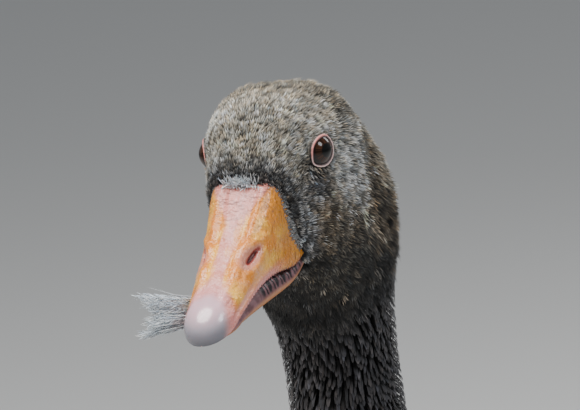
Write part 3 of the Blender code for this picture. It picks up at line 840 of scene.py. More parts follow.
def inside_bill(points, margin=0.4):
    """True where a world point lies within the bill's outline, grown by margin."""
    ahead, side, up = world_to_head(points)
    _, ridge, edge, half, power = bill_row(ahead)
    rise = np.clip((up - edge) / (ridge - edge + margin), -5, 5)
    width = np.abs(side) / (half + margin)
    upper = (width**power + np.abs(rise) ** power < 1) & (up > edge - margin)
    lower = (np.abs(side) < GAPE_HALF + margin) & (up < GAPE_TOP) & (up > GAPE_BOTTOM - margin)
    return (ahead > BILL_ROOT) & (upper | lower)


# ---------------------------------------------------------------- materials
# The head's axes and the place between its eyes, in world axes.
HEAD_AHEAD = (0.0, -HEAD_COS, -HEAD_SIN)
HEAD_UP = (0.0, -HEAD_SIN, HEAD_COS)
EYES_AT = (0.0, -(EYE_AHEAD + LENGTH_SHIFT) * MM, EYE_HEIGHT * MM)
NOD = (-HEAD_PITCH, 0, 0)  # turns noise with the bill


def plumage_material(name, barbs=0.0, shaft=0.0, sheen=0.25, band=(0.3, 0.95)):
    """Feather colour: the ground colour, running to the edge colour towards the rim, with barb lines slanting
    from the shaft and a pale shaft line where they are asked for."""
    paint = Paint(name, Roughness=0.68, Specular_IOR_Level=0.28, Sheen_Weight=sheen, Sheen_Roughness=0.5)
    colour = paint.mix(paint.colour("ground"), paint.colour("edge"), paint.value("rim").ease(*band))
    colour = paint.shade(colour, paint.noise(260, 2.0) * 0.5 + 0.75, 0.8)
    rows = None
    if barbs:
        vane_map = paint.node("ShaderNodeUVMap", {"uv_map": "vane"})
        across, along = (paint.node("ShaderNodeSeparateXYZ", {}, vane_map, output=i) for i in (0, 1))
        rows = ((along + across.absolute() * 0.9) * (TAU / barbs)).sine() * 0.5 + 0.5
        colour = paint.shade(colour, rows * 0.12 + 0.92)
        if shaft:
            colour = paint.mix(colour, (0.16, 0.135, 0.10), across.absolute().ease(shaft, shaft * 0.35) * 0.5)
    paint.finish(colour, height=rows, depth=0.0002, strength=0.3)


def skin_material():
    """The coat's down below the feathers: the ground colour, broken up by fine noise."""
    paint = Paint("skin_down", Roughness=0.9, Specular_IOR_Level=0.15)
    fluff = paint.noise(1400)
    paint.finish(paint.shade(paint.colour("ground"), fluff * 0.7 + 0.2), height=fluff, depth=0.0006)


def bill_material():
    """Bill horn painted in the head's frame: a pink culmen with fine wrinkles, orange-yellow sides that
    deepen towards the feathers, freckles near the gape, red nostrils with a near-black core painted as the
    shade in the hole, dark mauve rims, and a pink nail that greys downwards and ends near-black below as
    painted shade."""
    paint = Paint(
        "bill_horn_painted", Specular_IOR_Level=0.5, Coat_Weight=0.28, Coat_Roughness=0.11,
        Subsurface_Weight=0.12, Subsurface_Scale=0.002, Subsurface_Radius=(1.0, 0.45, 0.3),
    )
    ahead, up = (paint.along(axis, EYES_AT) * 1000 for axis in (HEAD_AHEAD, HEAD_UP))
    side = paint.along((1, 0, 0)).absolute() * 1000
    soft, fine, streak = paint.noise(90), paint.noise(700), paint.noise(170, 4.0, (3.2, 0.42, 0.9), NOD)
    wrinkle, folds = paint.noise(330, 3.0, (1.0, 2.2, 1.0), NOD), paint.noise(150, 3.0, (1.2, 2.2, 1.2), NOD)
    measures = ("rise", "nostril", "hole", "edge_rim", "nail")
    rise, nostril, hole, edge_rim, nail = (paint.value(name) for name in measures)
    # the culmen's pink closes in from the feathers to beyond the nostrils and spreads again towards the nail
    border = side - 14.5 + ahead.ease(24, 48) * 11.2 - ahead.ease(72, 94) * 11.0 + (streak - 0.5) * 9.0
    band = (side + ahead * 0.06 - 11.0).bell(0.0, 3.4) * ahead.ease(32, 44) * ahead.ease(84, 70)
    bloom = ((ahead - 64) / 9).bell(0.0, 2.0) * side.ease(8, 11) * (soft + fine * 0.4).ease(0.52, 0.8)
    freckle = fine.ease(0.58, 0.68) * ahead.bell(30, 26) * side.ease(9, 13)
    # the nail's own pink and grey, with a near-black lowest band painted as the shade on its underside
    horn = paint.layers(
        (0.57, 0.37, 0.42),
        ((0.30, 0.275, 0.31), up.ease(-21.0, -28.0)),
        ((0.09, 0.09, 0.11), up.ease(-25, -34) * 0.92),
    )
    colour = paint.layers(
        (0.68, 0.225, 0.012),
        ((0.86, 0.44, 0.040), soft.ease(0.38, 0.62)),
        ((0.60, 0.215, 0.012), ahead.ease(42, 28) * 0.8),
        ((0.65, 0.245, 0.215), border.ease(1.6, -2.0) * 0.93),
        ((0.77, 0.42, 0.41), side.ease(7, 1) * (soft + streak).ease(0.85, 1.15) * ahead.ease(60, 30) * 0.6),
        ((0.66, 0.20, 0.016), band * (streak * 1.1 + 0.5)),
        ((0.64, 0.29, 0.20), bloom * 0.75),
        ((0.67, 0.29, 0.29), ahead.ease(70, 84) * side.ease(9.0, 5.5) * 0.85),
        ((0.68, 0.31, 0.27), rise.bell(0.26, 0.16) * ahead.ease(62, 74) * 0.8),
        ((0.62, 0.21, 0.19), ahead.ease(80, 88) * side.ease(9.0, 11.0) * 0.85),
        ((0.66, 0.22, 0.19), rise.ease(0.26, 0.08) * ahead.ease(34, 52) * 0.95),
        ((0.36, 0.12, 0.03), freckle * 0.65),
        ((0.50, 0.20, 0.16), nostril.ease(0.1, 0.8) * (fine * 0.5 + 0.55)),
        ((0.30, 0.035, 0.03), hole.ease(0.1, 0.6) * 0.9),
        # painted shade: the nostril's near-black core stands for the shade inside the hole
        ((0.10, 0.024, 0.022), hole.ease(0.7, 1.0) * (fine + 0.35)),
        ((0.16, 0.055, 0.075), edge_rim),
        (horn, nail),
    )
    crease = (wrinkle + folds * 2.0 - 1.5) * (ahead.ease(64, 30) * 0.9 + 0.1)
    crease = crease + fine * 0.25 + soft * 1.5 - 0.87
    colour = paint.shade(colour, wrinkle * 0.5 + 0.80, ahead.ease(66, 34) * 0.8)
    paint.finish(colour, nail * -0.03 + fine * 0.14 + 0.19, crease * (1 - nail), 0.0022)


def lower_bill_material():
    """Mauve pink lower bill, darkened partly as painted shade from above, with near-black slits between the
    lamellae painted as the shade between them, and an orange-brown lower edge.
    """
    paint = Paint("bill_lower_painted", Roughness=0.42, Subsurface_Weight=0.1, Subsurface_Scale=0.002)
    soft = paint.noise(200)
    # partly painted shade: the whole lower bill is darker than its own mauve pink, and the comb's near-black
    # slits are shade between the lamellae
    colour = paint.layers(
        (0.12, 0.052, 0.057),
        ((0.22, 0.11, 0.12), soft.ease(0.35, 0.65)),
        ((0.42, 0.15, 0.04), paint.value("low")),
        ((0.010, 0.005, 0.007), paint.value("comb")),
    )
    paint.finish(colour, height=soft, depth=0.0004)


def eye_material():
    """Dark brown iris with radial fibres, a black pupil and a darker outer ring, all glossy."""
    paint = Paint("eye_glass", Roughness=0.06, Specular_IOR_Level=0.30)
    polar, fibre, grain = paint.value("polar"), paint.value("fibre"), paint.noise(900, 2.0)
    iris = paint.layers(
        (0.014, 0.005, 0.002),
        ((0.042, 0.015, 0.006), (fibre + grain * 0.8 - 0.4).ease(0.2, 0.9)),
        ((0.006, 0.003, 0.002), polar.ease(0.62, 0.82)),
    )
    paint.finish(paint.mix((0.002, 0.002, 0.002), iris, polar.ease(0.34, 0.40)))


def lid_material():
    """The bare rim of the lids: pinkish red above, paler flesh below, dark at the eyeball and outwards."""
    paint = Paint(
        "lid_skin", Roughness=0.42,
        Subsurface_Weight=0.2, Subsurface_Scale=0.001, Subsurface_Radius=(1.0, 0.4, 0.3),
    )
    across, grain = paint.value("across"), paint.noise(1500)
    red = (paint.value("upper") + grain * 0.4).ease(0.35, 1.0)
    flesh = paint.mix((0.78, 0.54, 0.50), (0.68, 0.25, 0.22), red)
    rims = ((flesh, across.ease(0.02, 0.14)), ((0.10, 0.09, 0.08), across.ease(0.20, 0.33)))
    paint.finish(paint.layers((0.06, 0.035, 0.035), *rims), height=grain, depth=0.0003)


def leg_material():
    """Scaly leg and web skin: orange pink, darker between the scales and duller over the webs."""
    paint = Paint("leg_scales", Specular_IOR_Level=0.4, Subsurface_Weight=0.08, Subsurface_Scale=0.002)
    patch, fine = paint.noise(60), paint.noise(900)
    colour = paint.layers(
        (0.62, 0.255, 0.115),
        ((0.70, 0.36, 0.22), patch.ease(0.35, 0.65)),
        ((0.52, 0.215, 0.125), paint.value("web") * 0.6),
        ((0.36, 0.135, 0.075), paint.value("groove") * 0.6),
    )
    cells = paint.node("ShaderNodeTexVoronoi", {"feature": "DISTANCE_TO_EDGE"}, paint.place(), None, 620.0)
    lines = cells.ease(0.0, 0.12)
    colour = paint.shade(colour, lines * 0.25 + 0.75, 0.9)
    paint.finish(colour, fine * 0.2 + 0.42, lines * 0.6 + fine * 0.4, 0.0005, 0.6)


def horn_material():
    """Dark claw horn with streaks along the claw."""
    paint = Paint("claw_horn_painted", Specular_IOR_Level=0.5)
    grain = paint.noise(400, 4.0, (3, 0.6, 3))
    colour = paint.mix((0.045, 0.036, 0.032), (0.14, 0.11, 0.09), grain.ease(0.35, 0.75))
    paint.finish(colour, grain * 0.2 + 0.3, grain, 0.0003, 0.5)


# ---------------------------------------------------------------- skin
def build_skin():
    """One closed skin of head, neck, trunk and tail, the body's outline drawn in along its normal by the
    coat's depth, with the feathered thighs running up inside it."""
    rings = np.concatenate([np.linspace(0, THROAT, 121)[:-1], np.linspace(THROAT, TAIL_TIP - 0.06, 172)])
    ring, turn = grid(rings, turns(96))
    where, out = framed(body_point, np.maximum(ring, 0.01), turn)[:2]
    parts = [closed_tube(where - out * coat_depth(ring)[..., None])]
    colours = [with_hubs(plumage(ring.ravel(), turn.ravel())[0])]
    run, around = grid(np.linspace(0.02, 0.99, 40), turns(40))
    where, out = framed(thigh_point, run, around)[:2]
    inner = closed_tube(where - out * (np.interp(run, [0, 0.6, 1], [7, 4, 1.2]) * MM)[..., None])
    for _, sign in SIDES:
        parts.append(for_side(sign, *inner))
        colours.append(np.full((len(inner[0]), 3), 0.30))
    mesh = mesh_from("skin", *join(parts))
    put_colour(mesh, "ground", np.concatenate(colours))
    nodes = ("head", "neck_upper", "neck_lower", "trunk", "tail", "thigh_left", "thigh_right")
    add_piece(mesh, "skin_down", nodes)


# ---------------------------------------------------------------- head and neck coat
ROOT_SHARE = 0.9  # how far down the coat's depth the small feathers root
EYE_MARGIN = 0.06  # how far outside the lids' opening a feather has to root, in radians
NECK_COAT = (7.55, 8.3)  # the head's feathers end and the neck's begin over this stretch of neckline


def lie_away_from_eyes(a, b, yaw):
    """Turns the lie of feathers that would run into an eye, so that they part round it."""
    where, _, _, down, beside = lie_axes(body_point, a, b)
    beyond, away = eye_clearance(where)
    lie = down * np.cos(yaw)[:, None] + beside * np.sin(yaw)[:, None]
    push = np.clip(0.15 - dot(lie, away), 0, 2) * (1 - ease(beyond, 0.2, 0.6))
    lie = lie + away * push[:, None]
    return np.arctan2(dot(lie, beside), dot(lie, down)), beyond


def build_tufts(name, count, rings, sizes, seed):
    """A piece of small feathers over a stretch of the head. Each feather is a fan of lances that share its
    place, lie and tone, the middle ones longest, highest and palest, the lower outer lances darker, partly as
    painted shade. Length, width and lift run smoothly along the rings, and each feather varies by its own
    draw."""
    a, b = scatter(count, body_point, rings, WHOLE_TURN, seed)
    rng = np.random.default_rng(seed)
    where, _, _, by_b = framed(body_point, a, b)
    kept = ~inside_bill(where) & (eye_clearance(where)[0] > EYE_MARGIN) & (neckline(a, b) < NECK_COAT[1])
    a, b, by_b = a[kept], b[kept], by_b[kept]
    total, barbs, down = len(a), sizes["barbs"], neckline(a, b)
    length, width = (sized(rng, sizes[measure], down, 0.16) for measure in ("length", "width"))
    # Waves over the head turn the lie, and gather the feathers into higher clumps that are painted paler,
    # partly as light on the raised clumps and shade between them.
    swirl = 0.35 * np.sin(a * 9.1 + 2.3 * np.sin(b * 5)) * np.sin(b * 11 + a * 3)
    yaw = rng.normal(0, 0.20, total) + 0.6 * swirl
    clump = np.sin(a * 10.5 + 2.2 * np.sin(b * 6.5 + a)) * np.sin(b * 15 + 2.0 * np.sin(a * 5.5))
    patchy = np.exp(0.30 * np.sin(a * 7.3 + 3 * b) * np.sin(b * 9.7 - a * 4.1) + 0.26 * clump)[:, None]
    salted = 0.48 + 0.35 * ease(from_back(b), 0.9, 1.6)
    tones = varied_pair(plumage(a, b) * patchy, seed + 1, (0.35,), (salted, 0.08))
    fluff = bell(a, HIND_CHEEK - 0.5, 0.9) * bell(from_back(b), 1.35, 0.5)
    lift = np.interp(down, *sizes["lift"]) + rng.normal(0, 0.35, total) * (1 + 2 * fluff) + fluff
    lift = lift + 0.42 * clump * ease(down, 0.4, 1.2)
    a, b, yaw, length, width, lift, spacing = (
        np.repeat(values, barbs) for values in (a, b, yaw, length, width, lift, np.linalg.norm(by_b, axis=-1))
    )
    u = np.tile(np.linspace(-1, 1, barbs), total)
    b = b + u * width * 0.40 / spacing
    yaw, beyond = lie_away_from_eyes(a, b, yaw + u * 0.22 + rng.normal(0, 0.10, len(a)))
    near = np.maximum(1 - ease(beyond, 0.1, 0.6), 0.6 * inside_bill(body_point(a, b), 3.0))
    length = length * (1 - 0.24 * u**2) * (1 - 0.4 * near) * uneven(rng, 0.14, len(a))
    blade = width * 1.5 / barbs * (1 - 0.25 * near) * uneven(rng, 0.15, len(a))
    tip = (lift + 0.35 * (1 - u**2) - 0.15 + rng.normal(0, 0.12, len(a))) * MM
    root = -coat_depth(a) * ROOT_SHARE
    made = laid(body_point, a, b, length, blade, yaw, root, tip, lance(), arch=0.15 * MM, twist=0.10)
    # partly painted shade: the fan's outer lances, which lie lower, are darkened
    tones = np.repeat(tones, barbs, axis=1) * (1 - 0.35 * u**2)[:, None]
    tones = varied_pair(tones, seed + 3, (0.1, 0.0), (0.30, 0.03))
    coat_piece(name, made, a, b, tones, "plumage_fine", "feathers_head")


def build_neck(count, rings, sizes, seed):
    """The blunt narrow neck feathers. They gather in lanes that run down the neck, highest and palest along
    each lane's middle, with dark furrows between the lanes: the crests' paleness is partly painted light and
    the furrows' darkness partly painted shade."""

    def crowd(ring, turn):
        """One over a feather's area, so that small feathers stand closer."""
        down = neckline(ring, turn)
        return 1 / (np.interp(down, *sizes["length"]) * np.interp(down, *sizes["width"]))

    a, b = scatter(count, body_point, rings, WHOLE_TURN, seed, crowd)
    kept = neckline(a, b) > NECK_COAT[0]
    a, b = a[kept], b[kept]
    rng = np.random.default_rng(seed)
    total, lanes, down = len(a), sizes["lanes"], neckline(a, b)
    lane = (b + 0.06 * np.sin(a * 4 + 2 * b)) * lanes / TAU
    strength = ease(down, 7.6, 8.6) * (1 - ease(a, NECK_BASE - 0.7, NECK_BASE + 0.3))
    off = 2 * (lane - np.round(lane))  # from -1 to 1 across a lane; feathers are drawn to its middle
    b = b - off / 2 * TAU / lanes * 0.32 * strength
    crest = (1 - off**2) * strength
    length, width = sized(rng, sizes["length"], down, 0.14), sized(rng, sizes["width"], down, 0.16)
    yaw = rng.normal(0, 0.06, total)
    tip = (np.interp(down, *sizes["lift"]) + rng.normal(0, 0.10, total) + 0.30 * crest) * MM
    blade, root = vane(3, 6, 0.75, 0.55, 3.0, 0.35, 0.35), -coat_depth(a) * ROOT_SHARE
    made = laid(body_point, a, b, length, width, yaw, root, tip, blade, arch=0.1 * MM)
    # partly painted light on each lane's crest and painted shade in the furrows between the lanes
    shade = (1 + 0.35 * crest - 0.50 * strength * off**2)[:, None]
    wild = 1 - 0.65 * ease(a, NECK_MID, NECK_BASE)
    tones = varied_pair(plumage(a, b) * shade, seed + 1, (0.22 * wild,), (0.30 * wild, 0.05))
    coat_piece("coat_neck", made, a, b, tones, "plumage_neck", "feathers_neck")


def bill_side(ahead, angle):
    """The upper bill's plain outline at a distance ahead of the eyes and an angle up from its left edge."""
    _, ridge, edge, half, power = bill_row(ahead)
    x, rise = superellipse(np.cos(angle), np.sin(angle), power)
    return head_to_world(ahead, half * x * (1 - BILL_TAPER * (1 - rise)), edge + (ridge - edge) * rise)


def build_bill_fringe(count=2600, seed=21):
    """Short feathers rooted on the bill's sides, which carry the feathered face forward over its hind edge.
    Their foremost line bows forward half way up and draws back at the gape."""
    rng = np.random.default_rng(seed)
    angle = rng.uniform(0.10, 1.30, count)
    rise = np.sin(angle)
    line = 27.4 + 2.8 * bell(rise, 0.50, 0.30) - 3.5 * (1 - ease(rise, 0.08, 0.34))
    ahead = line - 7.5 * rng.uniform(0, 1, count) ** 0.9
    angle = np.where(np.arange(count) % 2, angle, math.pi - angle)
    yaw = math.pi + rng.normal(0, 0.22, count) + 0.35 * np.cos(angle) * np.abs(np.cos(angle))
    length = rng.uniform(1.6, 3.0, count) * MM
    high = (0.35 + 1.0 * ease(line - ahead, 0, 5) + rng.normal(0, 0.12, count)) * MM
    made = laid(bill_side, ahead, angle, length, 0.42 * MM, yaw, -0.6 * MM, high, lance())
    tones = plumage(np.full(count, 0.8), np.sign(np.cos(angle)) * 1.3)
    tones = varied_pair(tones, seed + 1, (0.3,), (0.45,))
    place = np.full(count, 0.35), math.pi / 2 - angle
    coat_piece("coat_bill_fringe", made, *place, tones, "plumage_fine", "feathers_head")


def build_eye_fringe(word, sign, count=1900, seed=31):
    """Tiny feathers rooted on the lids' outer skin all round the opening, lying away from the eye."""

    def round_eye(beyond, angle):
        """The lids' outer skin, a sphere that sinks outwards, at an angle beyond the opening and round it."""
        radius = EYE_RADIUS + 0.35 - 0.6 * ease(beyond, 0.3, 0.8)
        return eye_point(sign, radius, lid_opening(angle) + beyond, angle)

    rng = np.random.default_rng(seed)
    angle = rng.uniform(0, TAU, count)
    beyond = 0.13 + 0.60 * rng.uniform(0, 1, count)
    yaw = rng.normal(0, 0.25, count) - 0.55 * sign * np.sin(angle)
    length = sized(rng, ([0.13, 0.75], [1.1, 2.8]), beyond, 0.15)
    tip = (0.55 + 1.6 * ease(beyond, 0.3, 0.9) + rng.normal(0, 0.12, count)) * MM
    made = laid(round_eye, beyond, angle, length, 0.40 * MM, yaw, -0.4 * MM, tip, lance())
    if faces_inward(round_eye(*grid(np.linspace(0.1, 0.6, 8), np.linspace(0, 6, 40))), eye_centre(sign)):
        made["faces"] = made["faces"][:, ::-1]
    ring, around = np.full(count, EYES - 0.5), (1.35 - 0.25 * np.sin(angle)) * sign
    ground, edge = plumage(ring - 0.8 * np.cos(angle), around)
    tones = varied_pair((ground, edge * 0.9), seed + 1, (0.3,), (0.4,))
    coat_piece("coat_eye_fringe_" + word, made, ring, around, tones, "plumage_fine", "feathers_head")


def strands(name, roots, outs, length, width, bend, pale, ring, turn, seed):
    """Loose strands: each is a lance that leaves its root along its own direction and bends aside with the
    square of the way along, by its own share."""
    rng = np.random.default_rng(seed)
    points, faces = lance()
    count, ones = len(roots), np.ones((len(roots), 1))
    length, width, bend = (values[:, None] for values in (length, width, bend))
    side = unit(np.cross(outs, rng.normal(size=(count, 3))))
    u, v, h, rim = (values * ones for values in points.T)
    grow = length * v
    lift = h * width / 2 + bend * grow * v
    placed = roots[:, None] + outs[:, None] * grow[..., None]
    placed = placed + np.cross(side, outs)[:, None] * lift[..., None]
    placed = (placed + side[:, None] * (u * width / 2)[..., None]).reshape(-1, 3)
    made = {"points": placed, "faces": repeated(faces, count, len(points)), "u": u, "v": v, "rim": rim}
    made["vane"] = (u * width, grow)
    colours = varied(np.tile([pale], (count, 1)), seed + 1, 0.12)
    coat_piece(name, made, ring, turn, (colours * 0.62, colours), "plumage_fine", "feathers_head")


def build_white_tufts(count=230, hem=60, flecks=9, seed=41):
    """The spiky white feathers along the bill's base and the small white flecks at its sides."""
    rng = np.random.default_rng(seed)
    spans = ((-0.05, 0.26, count), (-0.05, 0.06, hem), (0.22, 0.46, 2 * flecks))
    a = np.concatenate([rng.uniform(*span) for span in spans])
    brow, cheeks = np.clip(rng.normal(-0.03, 0.20, count), -0.45, 0.42), np.repeat([2.0, -2.0], flecks)
    b = np.concatenate([brow, rng.uniform(-0.6, 0.72, hem), cheeks + rng.normal(0, 0.04, 2 * flecks)])
    where, out, by_a, by_b = framed(body_point, a, b)
    total = len(a)
    outs = out * rng.uniform(0.35, 1.0, total)[:, None] + unit(by_a) * rng.normal(0.35, 0.55, total)[:, None]
    outs = unit(outs + unit(by_b) * rng.normal(0, 0.55, total)[:, None])
    length = rng.uniform(2.4, 5.2, total) * MM
    length[count:] *= 0.55
    width, roots, pale = np.full(total, 0.44 * MM), where - out * 0.6 * MM, (0.84, 0.91, 0.98)
    strands("coat_white_tufts", roots, outs, length, width, 0 * a, pale, a, b, seed)


def build_loose_feather(plumes=76, barbs=26, seed=51):
    """A loose down feather stuck to the right side of the bill's tip: curved plumes that fan from its quill,
    each with finer barbs along it."""
    rng = np.random.default_rng(seed)
    quill = head_to_world(80.0, -5.0, -28.5)
    heading = unit(np.array([-0.93, -0.36, 0.0]))
    across = unit(np.cross(heading, [0.35, -0.9, 0.25]))
    thick = np.cross(heading, across)
    place = np.linspace(-1, 1, plumes) + rng.normal(0, 0.06, plumes)
    fan = 0.09 * place
    reach = (20.5 + 5.5 * np.abs(place) ** 1.5 + rng.normal(0, 1.6, plumes)) * MM
    starts = quill + across * (place * 5.0 * MM)[:, None]
    side = heading * np.cos(fan)[:, None] + across * np.sin(fan)[:, None]
    side = unit(side + thick * rng.normal(0, 0.07, plumes)[:, None])
    share = np.linspace(0.22, 0.98, barbs)[None, :]
    sweep = (across * (0.05 * np.sign(fan) * reach)[:, None])[:, None] * (share**2)[..., None]
    roots = starts[:, None] + side[:, None] * (reach[:, None] * share)[..., None] + sweep
    flip = np.where(np.arange(barbs) % 2, 1.0, -1.0)[None, :, None]
    outs = side[:, None] * 0.9 + across * flip * 0.32 + thick * rng.normal(0, 0.16, (plumes, barbs, 1))
    length = np.concatenate([rng.uniform(2.2, 4.2, plumes * barbs) * MM, reach * 0.95])
    roots = np.concatenate([roots.reshape(-1, 3), starts])
    outs = np.concatenate([unit(outs.reshape(-1, 3)), side])
    width = np.repeat([0.36 * MM, 0.42 * MM], [plumes * barbs, plumes])
    bend = rng.normal(0, 0.10, len(roots))
    turn = -1.2 + rng.uniform(-0.1, 0.1, len(roots))
    pale = (0.74, 0.80, 0.86)
    strands("loose_feather", roots, outs, length, width, bend, pale, np.full(len(roots), 0.2), turn, seed)


# ---------------------------------------------------------------- bill
def bill_rows(table, tip, rings, tip_rings, narrow, droop):
    """Columns along half a bill: through the table, then a tip whose widths fall about as a quarter ellipse
    and whose edge droops with the sine."""
    run = smooth_through(table, np.linspace(0, len(table) - 1, rings))
    ahead, high, low, half, power = run[-1]
    turn = np.linspace(0, math.pi / 2, tip_rings + 1)[1:]
    shrink = np.maximum(np.cos(turn), 0.02)
    ahead = ahead + (tip - ahead) * np.sin(turn)
    edge = low - droop * np.sin(turn)
    end = np.stack([ahead, edge + (high - low) * shrink**0.8, edge, half * shrink**narrow, power + 0 * turn])
    return np.concatenate([run.T, end], axis=1)[..., None]


def build_upper_bill():
    """The upper bill: an arch met along rays from its edge line, over a level underside, then moved along its
    normals for the nail, nostrils, ridges, and a toothed rim."""
    ahead, ridge, edge, half, power = bill_rows(UPPER_BILL, UPPER_BILL_TIP, 190, 44, 0.92, 2.2)
    angle = np.linspace(0, math.pi, 132)[None, :]
    x, rise = superellipse(np.cos(angle), np.sin(angle), power)
    side = half * x * (1 - BILL_TAPER * (1 - rise))
    up = edge + (ridge - edge) * rise
    base = np.linspace(-1, 1, 30)[None, 1:-1]
    hollow = 1.6 * (1 - base**2) * (1 - ease(ahead, 84, 92))
    side = np.concatenate([side, half * (1 - BILL_TAPER) * base], axis=1)
    up = np.concatenate([up, edge + hollow], axis=1)
    rise = np.concatenate([rise, 0 * base - 0.02 + 0 * half], axis=1)
    ahead = ahead + 0 * side
    points = np.stack([side, ahead, up], -1)
    around = np.roll(points, -1, axis=1) - np.roll(points, 1, axis=1)
    out = unit(np.cross(around, np.gradient(points, axis=0)))
    out = out * np.sign(out[60, 66, 2])  # a point of the culmen, whose normal has to look up
    arch, low, flat_side = rise > 0, np.clip(rise, 0, 1), np.abs(side)
    # The nail stands proud.
    nail = sum(((v - c) / r) ** 2 for v, c, r in zip((ahead, side, up), NAIL_PLACE, NAIL_RADII))
    move = 0.22 * (1 - ease(nail, 0.80, 1.15)) * arch
    # The nostril: a sunk slit with a deeper hole in it, a raised rim and a shallow hollow round them.
    fore, high = ahead - NOSTRIL_AHEAD, up - NOSTRIL_UP
    lengthwise = fore * math.cos(NOSTRIL_SLOPE) + high * math.sin(NOSTRIL_SLOPE)
    crosswise = -fore * math.sin(NOSTRIL_SLOPE) + high * math.cos(NOSTRIL_SLOPE)
    slit = np.hypot((lengthwise - 0.6) / 8.0, crosswise / 2.7)
    hole = np.hypot((lengthwise + 0.6) / 6.2, crosswise / 1.5)
    flank = (flat_side > 5) & arch
    move -= (1.1 * (1 - ease(slit, 0.3, 1.05)) + 1.6 * (1 - ease(hole, 0.4, 1.05))) * flank
    move += 0.70 * bell(slit, 1.35, 0.36) * flank * (0.4 + 0.6 * ease(crosswise, -1, 1.5))
    move -= 0.45 * bell(np.hypot(lengthwise / 13.0, crosswise / 5.5), 0, 0.9) * flank
    # A ridge along the culmen's border with a groove inside it, and one above the edge with a groove over it.
    line = np.interp(ahead, [20, 50, 88], [11.0, 8.6, 6.6])
    fade = ease(ahead, 24, 36) * (1 - ease(ahead, 82, 92)) * arch
    move += (0.55 * bell(flat_side, line, 1.5) - 0.35 * bell(flat_side, line - 3.2, 1.8)) * fade
    move += (0.45 * bell(low, 0.13, 0.09) - 0.30 * bell(low, 0.30, 0.10)) * fade
    # Teeth that hang from the edge.
    teeth = 0.5 + 0.5 * np.sin(TAU * ahead / TEETH_PITCH)
    toothed = ease(ahead, 20, 26) * (1 - ease(ahead, 74, 84))
    side, forward, up = np.moveaxis(points + out * move[..., None], -1, 0)
    up = up - 0.75 * teeth * (1 - ease(low, 0.0, 0.05)) * (flat_side > 0.75 * half) * toothed
    mesh = mesh_from("bill_upper_horn", *closed_tube(head_to_world(forward, side, up), flip=True))
    measures = {
        "nail": (1 - ease(nail, 0.62, 1.25)) * arch,
        "nostril": (1 - ease(slit, 0.5, 1.5)) * flank,
        "hole": (1 - ease(hole, 0.5, 1.2)) * flank,
        "rise": low,
        "edge_rim": (1 - ease(low, 0.008, 0.03)) * toothed * (0.35 + 0.65 * teeth),
    }
    for name, values in measures.items():
        put_tube_value(mesh, name, values, ahead.shape)
    add_piece(mesh, "bill_horn_painted", ("bill_upper", "bill_nail"))


def build_lower_bill():
    """The lower bill: flattened superellipse sections, with a comb of lamellae along each upper side."""
    ahead, top, bottom, half, power = bill_rows(LOWER_BILL, LOWER_BILL_TIP, 260, 30, 0.8, 0.6)
    x, y = np.cos(turns(72))[None, :], np.sin(turns(72))[None, :]
    side, rise = superellipse(x, y, power)
    up = bottom + (top - bottom) * (0.45 + np.where(y > 0, 0.55, 0.45) * rise)
    side, rise = half * side, np.where(y > 0, rise, 0)
    ahead = ahead + 0 * side
    outer = bell(rise, 0.34, 0.52) * (np.abs(x) > 0.45) * (y > 0)
    outer = outer * ease(ahead, 18, 24) * (1 - ease(ahead, 52, 66))
    plates = 0.5 + 0.5 * np.sin(TAU * (ahead + 2.6 * rise + 0.7 * np.sin(ahead * 0.9)) / COMB_PITCH)
    world = head_to_world(ahead, side * (1 - 0.055 * outer * (1 - plates)), up)
    mesh = mesh_from("bill_lower_horn", *closed_tube(world, flip=True))
    # the comb mask marks the slits that are painted near-black as the shade between the lamellae
    put_tube_value(mesh, "comb", ease(outer, 0.15, 0.5) * ease(plates, 0.62, 0.42), side.shape)
    put_tube_value(mesh, "low", 1 - ease(y, -0.35, 0.12), side.shape)
    add_piece(mesh, "bill_lower_painted", ("bill_lower",))


# ---------------------------------------------------------------- eyes
def build_eye(word, sign):
    """An eyeball: polar angle from the looking axis and angle round it, with a low corneal dome."""
    polar, angle = grid(np.linspace(0.012, math.pi - 0.012, 72), turns(64))
    world = eye_point(sign, EYE_RADIUS + 0.45 * bell(polar, 0, 0.62), polar, angle)
    mesh = mesh_from("eyeball_" + word, *closed_tube(world, flip=faces_inward(world, eye_centre(sign))))
    fibre = 0.5 + 0.25 * np.sin(37 * angle) + 0.25 * np.sin(61 * angle + 2 * np.sin(9 * angle))
    put_tube_value(mesh, "polar", polar, polar.shape)
    put_tube_value(mesh, "fibre", fibre, polar.shape)
    add_piece(mesh, "eye_glass", ("eye_" + word,))


